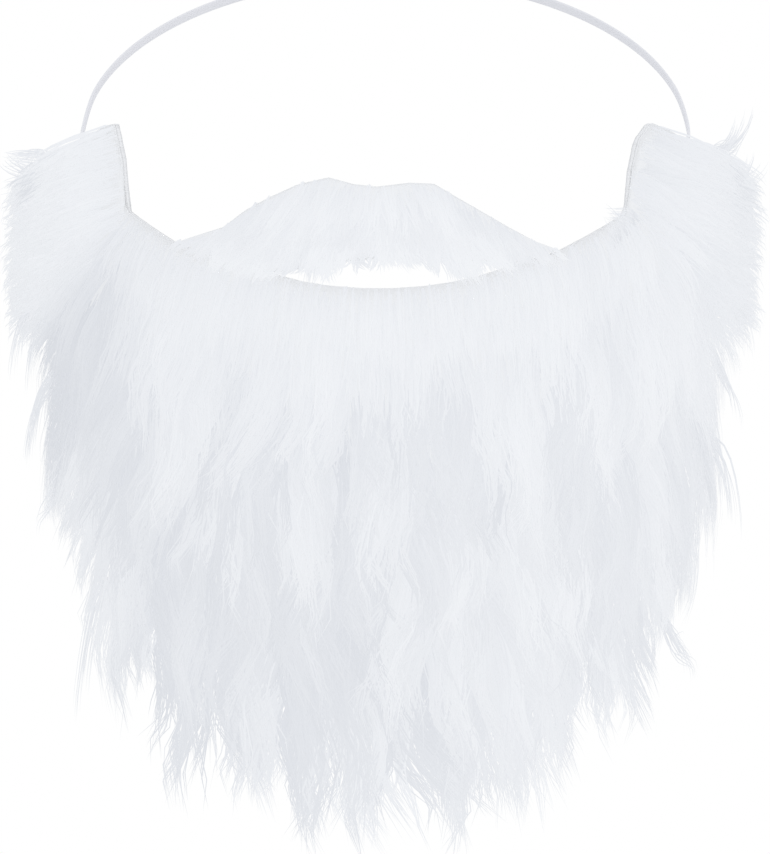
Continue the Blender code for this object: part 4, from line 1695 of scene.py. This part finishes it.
@dataclass(frozen=True)
class PileFootFinish:
    """The dense foot of the pile, seen between the strands."""

    name: str = "pile foot"
    colour: tuple[float, float, float] = (0.895, 0.90, 0.91)
    roughness: float = 0.9
    specular: float = 0.1
    fibre: float = 0.0012
    relief: float = 0.0002
    bump: float = 0.6

    def material(self) -> bpy.types.Material:
        """Builds the material.

        Returns:
            A dull material with a fine fibrous bump.
        """
        material, shader = new_material(self.name, self.roughness, self.specular)
        nodes = material.node_tree.nodes
        links = material.node_tree.links
        shader.inputs["Base Color"].default_value = (*self.colour, 1.0)
        place = nodes.new("ShaderNodeTexCoord")
        fibres = nodes.new("ShaderNodeTexNoise")
        fibres.inputs["Scale"].default_value = 1.0 / self.fibre
        bump = nodes.new("ShaderNodeBump")
        bump.inputs["Strength"].default_value = self.bump
        bump.inputs["Distance"].default_value = self.relief
        links.new(place.outputs["Object"], fibres.inputs["Vector"])
        links.new(fibres.outputs["Fac"], bump.inputs["Height"])
        links.new(bump.outputs["Normal"], shader.inputs["Normal"])
        return material


@dataclass(frozen=True)
class ClothFinish:
    """White knitted backing cloth."""

    name: str = "knitted backing"
    colour: tuple[float, float, float] = (0.89, 0.892, 0.90)
    roughness: float = 0.9
    specular: float = 0.2
    stitch: float = 0.0011
    relief: float = 0.00010

    def material(self) -> bpy.types.Material:
        """Builds the material.

        Returns:
            A material with a knit in the cloth's own map.
        """
        material, shader = new_material(self.name, self.roughness, self.specular)
        nodes = material.node_tree.nodes
        links = material.node_tree.links
        shader.inputs["Base Color"].default_value = (*self.colour, 1.0)
        knit = nodes.new("ShaderNodeGroup")
        knit.node_tree = knit_group()
        knit.inputs["Stitch"].default_value = self.stitch
        bump = nodes.new("ShaderNodeBump")
        bump.inputs["Strength"].default_value = 1.0
        bump.inputs["Distance"].default_value = self.relief
        place = nodes.new("ShaderNodeUVMap")
        place.uv_map = "cloth"
        links.new(place.outputs["UV"], knit.inputs["Place"])
        links.new(knit.outputs["Height"], bump.inputs["Height"])
        links.new(bump.outputs["Normal"], shader.inputs["Normal"])
        return material


def knit_group() -> bpy.types.NodeTree:
    """Columns of knitted stitches on a map in metres.

    Returns:
        A group that gives the Height of the yarn from Place and Stitch.
    """
    group, given, result = value_group(
        "Knitted Stitches",
        {"Place": "NodeSocketVector", "Stitch": "NodeSocketFloat"},
        {"Height": "NodeSocketFloat"},
    )
    nodes = group.nodes
    links = group.links

    def maths(operation: str, first: object, second: object = 0.0) -> bpy.types.NodeSocket:
        """A Math node between sockets or numbers."""
        node = nodes.new("ShaderNodeMath")
        node.operation = operation
        for socket, value in zip(node.inputs, (first, second)):
            if isinstance(value, float):
                socket.default_value = value
            else:
                links.new(value, socket)
        return node.outputs[0]

    apart = nodes.new("ShaderNodeSeparateXYZ")
    links.new(given.outputs["Place"], apart.inputs["Vector"])
    across = maths("DIVIDE", apart.outputs["X"], given.outputs["Stitch"])
    up = maths("DIVIDE", apart.outputs["Y"], given.outputs["Stitch"])
    column = maths("ABSOLUTE", maths("SUBTRACT", maths("FRACT", across), 0.5))
    slanted = maths("ADD", maths("MULTIPLY", up, 1.25), maths("MULTIPLY", column, 1.1))
    yarn = maths("ABSOLUTE", maths("SINE", maths("MULTIPLY", slanted, math.pi)))
    groove = maths("MULTIPLY", maths("SUBTRACT", 0.5, column), 2.0)
    ridge = maths("POWER", maths("SINE", maths("MULTIPLY", groove, math.pi)), 0.5)
    height = maths("MULTIPLY", maths("POWER", yarn, 0.6), ridge)
    links.new(height, result.inputs["Height"])
    return group


@dataclass(frozen=True)
class ThreadFinish:
    """A plain white finish for the elastic or the sewing thread."""

    name: str
    colour: tuple[float, float, float]
    roughness: float

    def material(self) -> bpy.types.Material:
        """Builds the material.

        Returns:
            A plain finish with a soft shine.
        """
        material, shader = new_material(self.name, self.roughness)
        shader.inputs["Base Color"].default_value = (*self.colour, 1.0)
        return material


@dataclass
class Studio:
    """The camera, lights and floor."""

    centre_across: float = 0.0006
    centre_height: float = -0.0441
    focus_depth: float = 0.030
    distance: float = 1.8
    sensor: float = 36.0
    world_colour: tuple[float, float, float] = (0.96, 0.975, 1.0)
    world_light: float = 0.90
    light_size: float = 1.0
    aim: tuple[float, float, float] = (0.0, 0.02, -0.05)
    key_place: tuple[float, float, float] = (0.9, -1.3, 1.15)
    key_power: float = 4.0
    key_colour: tuple[float, float, float] = (1.0, 0.99, 0.97)
    fill_place: tuple[float, float, float] = (-1.4, -0.5, 0.7)
    fill_power: float = 1.1
    fill_colour: tuple[float, float, float] = (0.98, 0.99, 1.0)
    floor_height: float = -0.35
    floor_radius: float = 1.4
    floor_colour: tuple[float, float, float] = (0.9, 0.9, 0.9)

    def add_light(
        self, name: str, place: tuple[float, float, float], power: float,
        colour: tuple[float, float, float],
    ) -> None:
        """Hangs a round soft light that faces the beard.

        Args:
            name: The light's name.
            place: Where it hangs.
            power: Its power in watts.
            colour: Its colour.
        """
        light = bpy.data.lights.new(name, "AREA")
        light.shape = "DISK"
        light.size = self.light_size
        light.energy = power
        light.color = colour
        light_object = bpy.data.objects.new(name, light)
        light_object.location = place
        away = Vector(place) - Vector(self.aim)
        light_object.rotation_euler = away.to_track_quat("Z", "Y").to_euler()
        bpy.context.scene.collection.objects.link(light_object)

    def build(self) -> None:
        """Places the camera, the lights, the white surroundings and the floor."""
        scene = bpy.context.scene
        camera = bpy.data.cameras.new("camera")
        reach = self.distance + self.focus_depth
        camera.sensor_width = self.sensor
        camera.lens = self.sensor * reach / (PHOTO_HEIGHT * METRES_PER_PIXEL)
        camera_object = bpy.data.objects.new("camera", camera)
        camera_object.location = (self.centre_across, -self.distance, self.centre_height)
        camera_object.rotation_euler = (math.radians(90.0), 0.0, 0.0)
        scene.collection.objects.link(camera_object)
        scene.camera = camera_object
        scene.view_settings.view_transform = "Standard"

        world = bpy.data.worlds.new("white surroundings")
        world.use_nodes = True
        scene.world = world
        nodes = world.node_tree.nodes
        links = world.node_tree.links
        light = nodes["Background"]
        light.inputs["Color"].default_value = (*self.world_colour, 1.0)
        light.inputs["Strength"].default_value = self.world_light
        seen = nodes.new("ShaderNodeBackground")
        seen.inputs["Color"].default_value = (1.0, 1.0, 1.0, 1.0)
        seen.inputs["Strength"].default_value = 1.0
        path = nodes.new("ShaderNodeLightPath")
        mix = nodes.new("ShaderNodeMixShader")
        links.new(path.outputs["Is Camera Ray"], mix.inputs["Fac"])
        links.new(light.outputs["Background"], mix.inputs[1])
        links.new(seen.outputs["Background"], mix.inputs[2])
        links.new(mix.outputs["Shader"], nodes["World Output"].inputs["Surface"])

        self.add_light("key", self.key_place, self.key_power, self.key_colour)
        self.add_light("fill", self.fill_place, self.fill_power, self.fill_colour)

        mesh = bmesh.new()
        bmesh.ops.create_circle(mesh, cap_ends=True, segments=64, radius=self.floor_radius)
        bmesh.ops.translate(mesh, vec=(0.0, 0.0, self.floor_height), verts=mesh.verts)
        floor_mesh = bpy.data.meshes.new("floor")
        mesh.to_mesh(floor_mesh)
        mesh.free()
        floor = bpy.data.objects.new("floor", floor_mesh)
        scene.collection.objects.link(floor)
        paint, shader = new_material("pale floor", 0.8)
        shader.inputs["Base Color"].default_value = (*self.floor_colour, 1.0)
        floor_mesh.materials.append(paint)


def main() -> None:
    """Loads the frame and dresses it piece by piece."""
    logging.basicConfig(level=logging.INFO, format="%(message)s")
    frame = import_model()
    random = np.random.default_rng(SEED)
    Studio().build()
    bow = FaceBow()
    panel = CutCloth(frame["nodes"]["beard_backing"], bow)
    strip = CutCloth(frame["nodes"]["moustache_backing"], bow)
    pile = PileFinish().material()
    mat = PileFootFinish().material()
    knit = ClothFinish().material()
    thread = ThreadFinish("sewing thread", (0.84, 0.84, 0.87), 0.5).material()
    white_elastic = ThreadFinish("white elastic", (0.82, 0.82, 0.85), 0.6).material()
    BackingCloth(panel, "backing_panel", "beard_backing", 86.5, []).build(knit)
    BackingCloth(strip, "backing_strip", "moustache_backing", 40.0, []).build(knit)
    UnderPile(panel, "panel_pile_foot", "beard_fur", 86.5, 0.0014).build(mat)
    UnderPile(strip, "moustache_pile_foot", "moustache_fur", 40.0, 0.0012).build(mat)
    PanelPile(panel).build(pile, random)
    LooseWisps(panel).build(pile, random)
    MoustachePile(strip).build(pile, random)
    elastic = Elastic(bow)
    elastic.build(white_elastic)
    for side in Side:
        BarTack(side, elastic).build(thread)


if __name__ == "__main__":
    main()
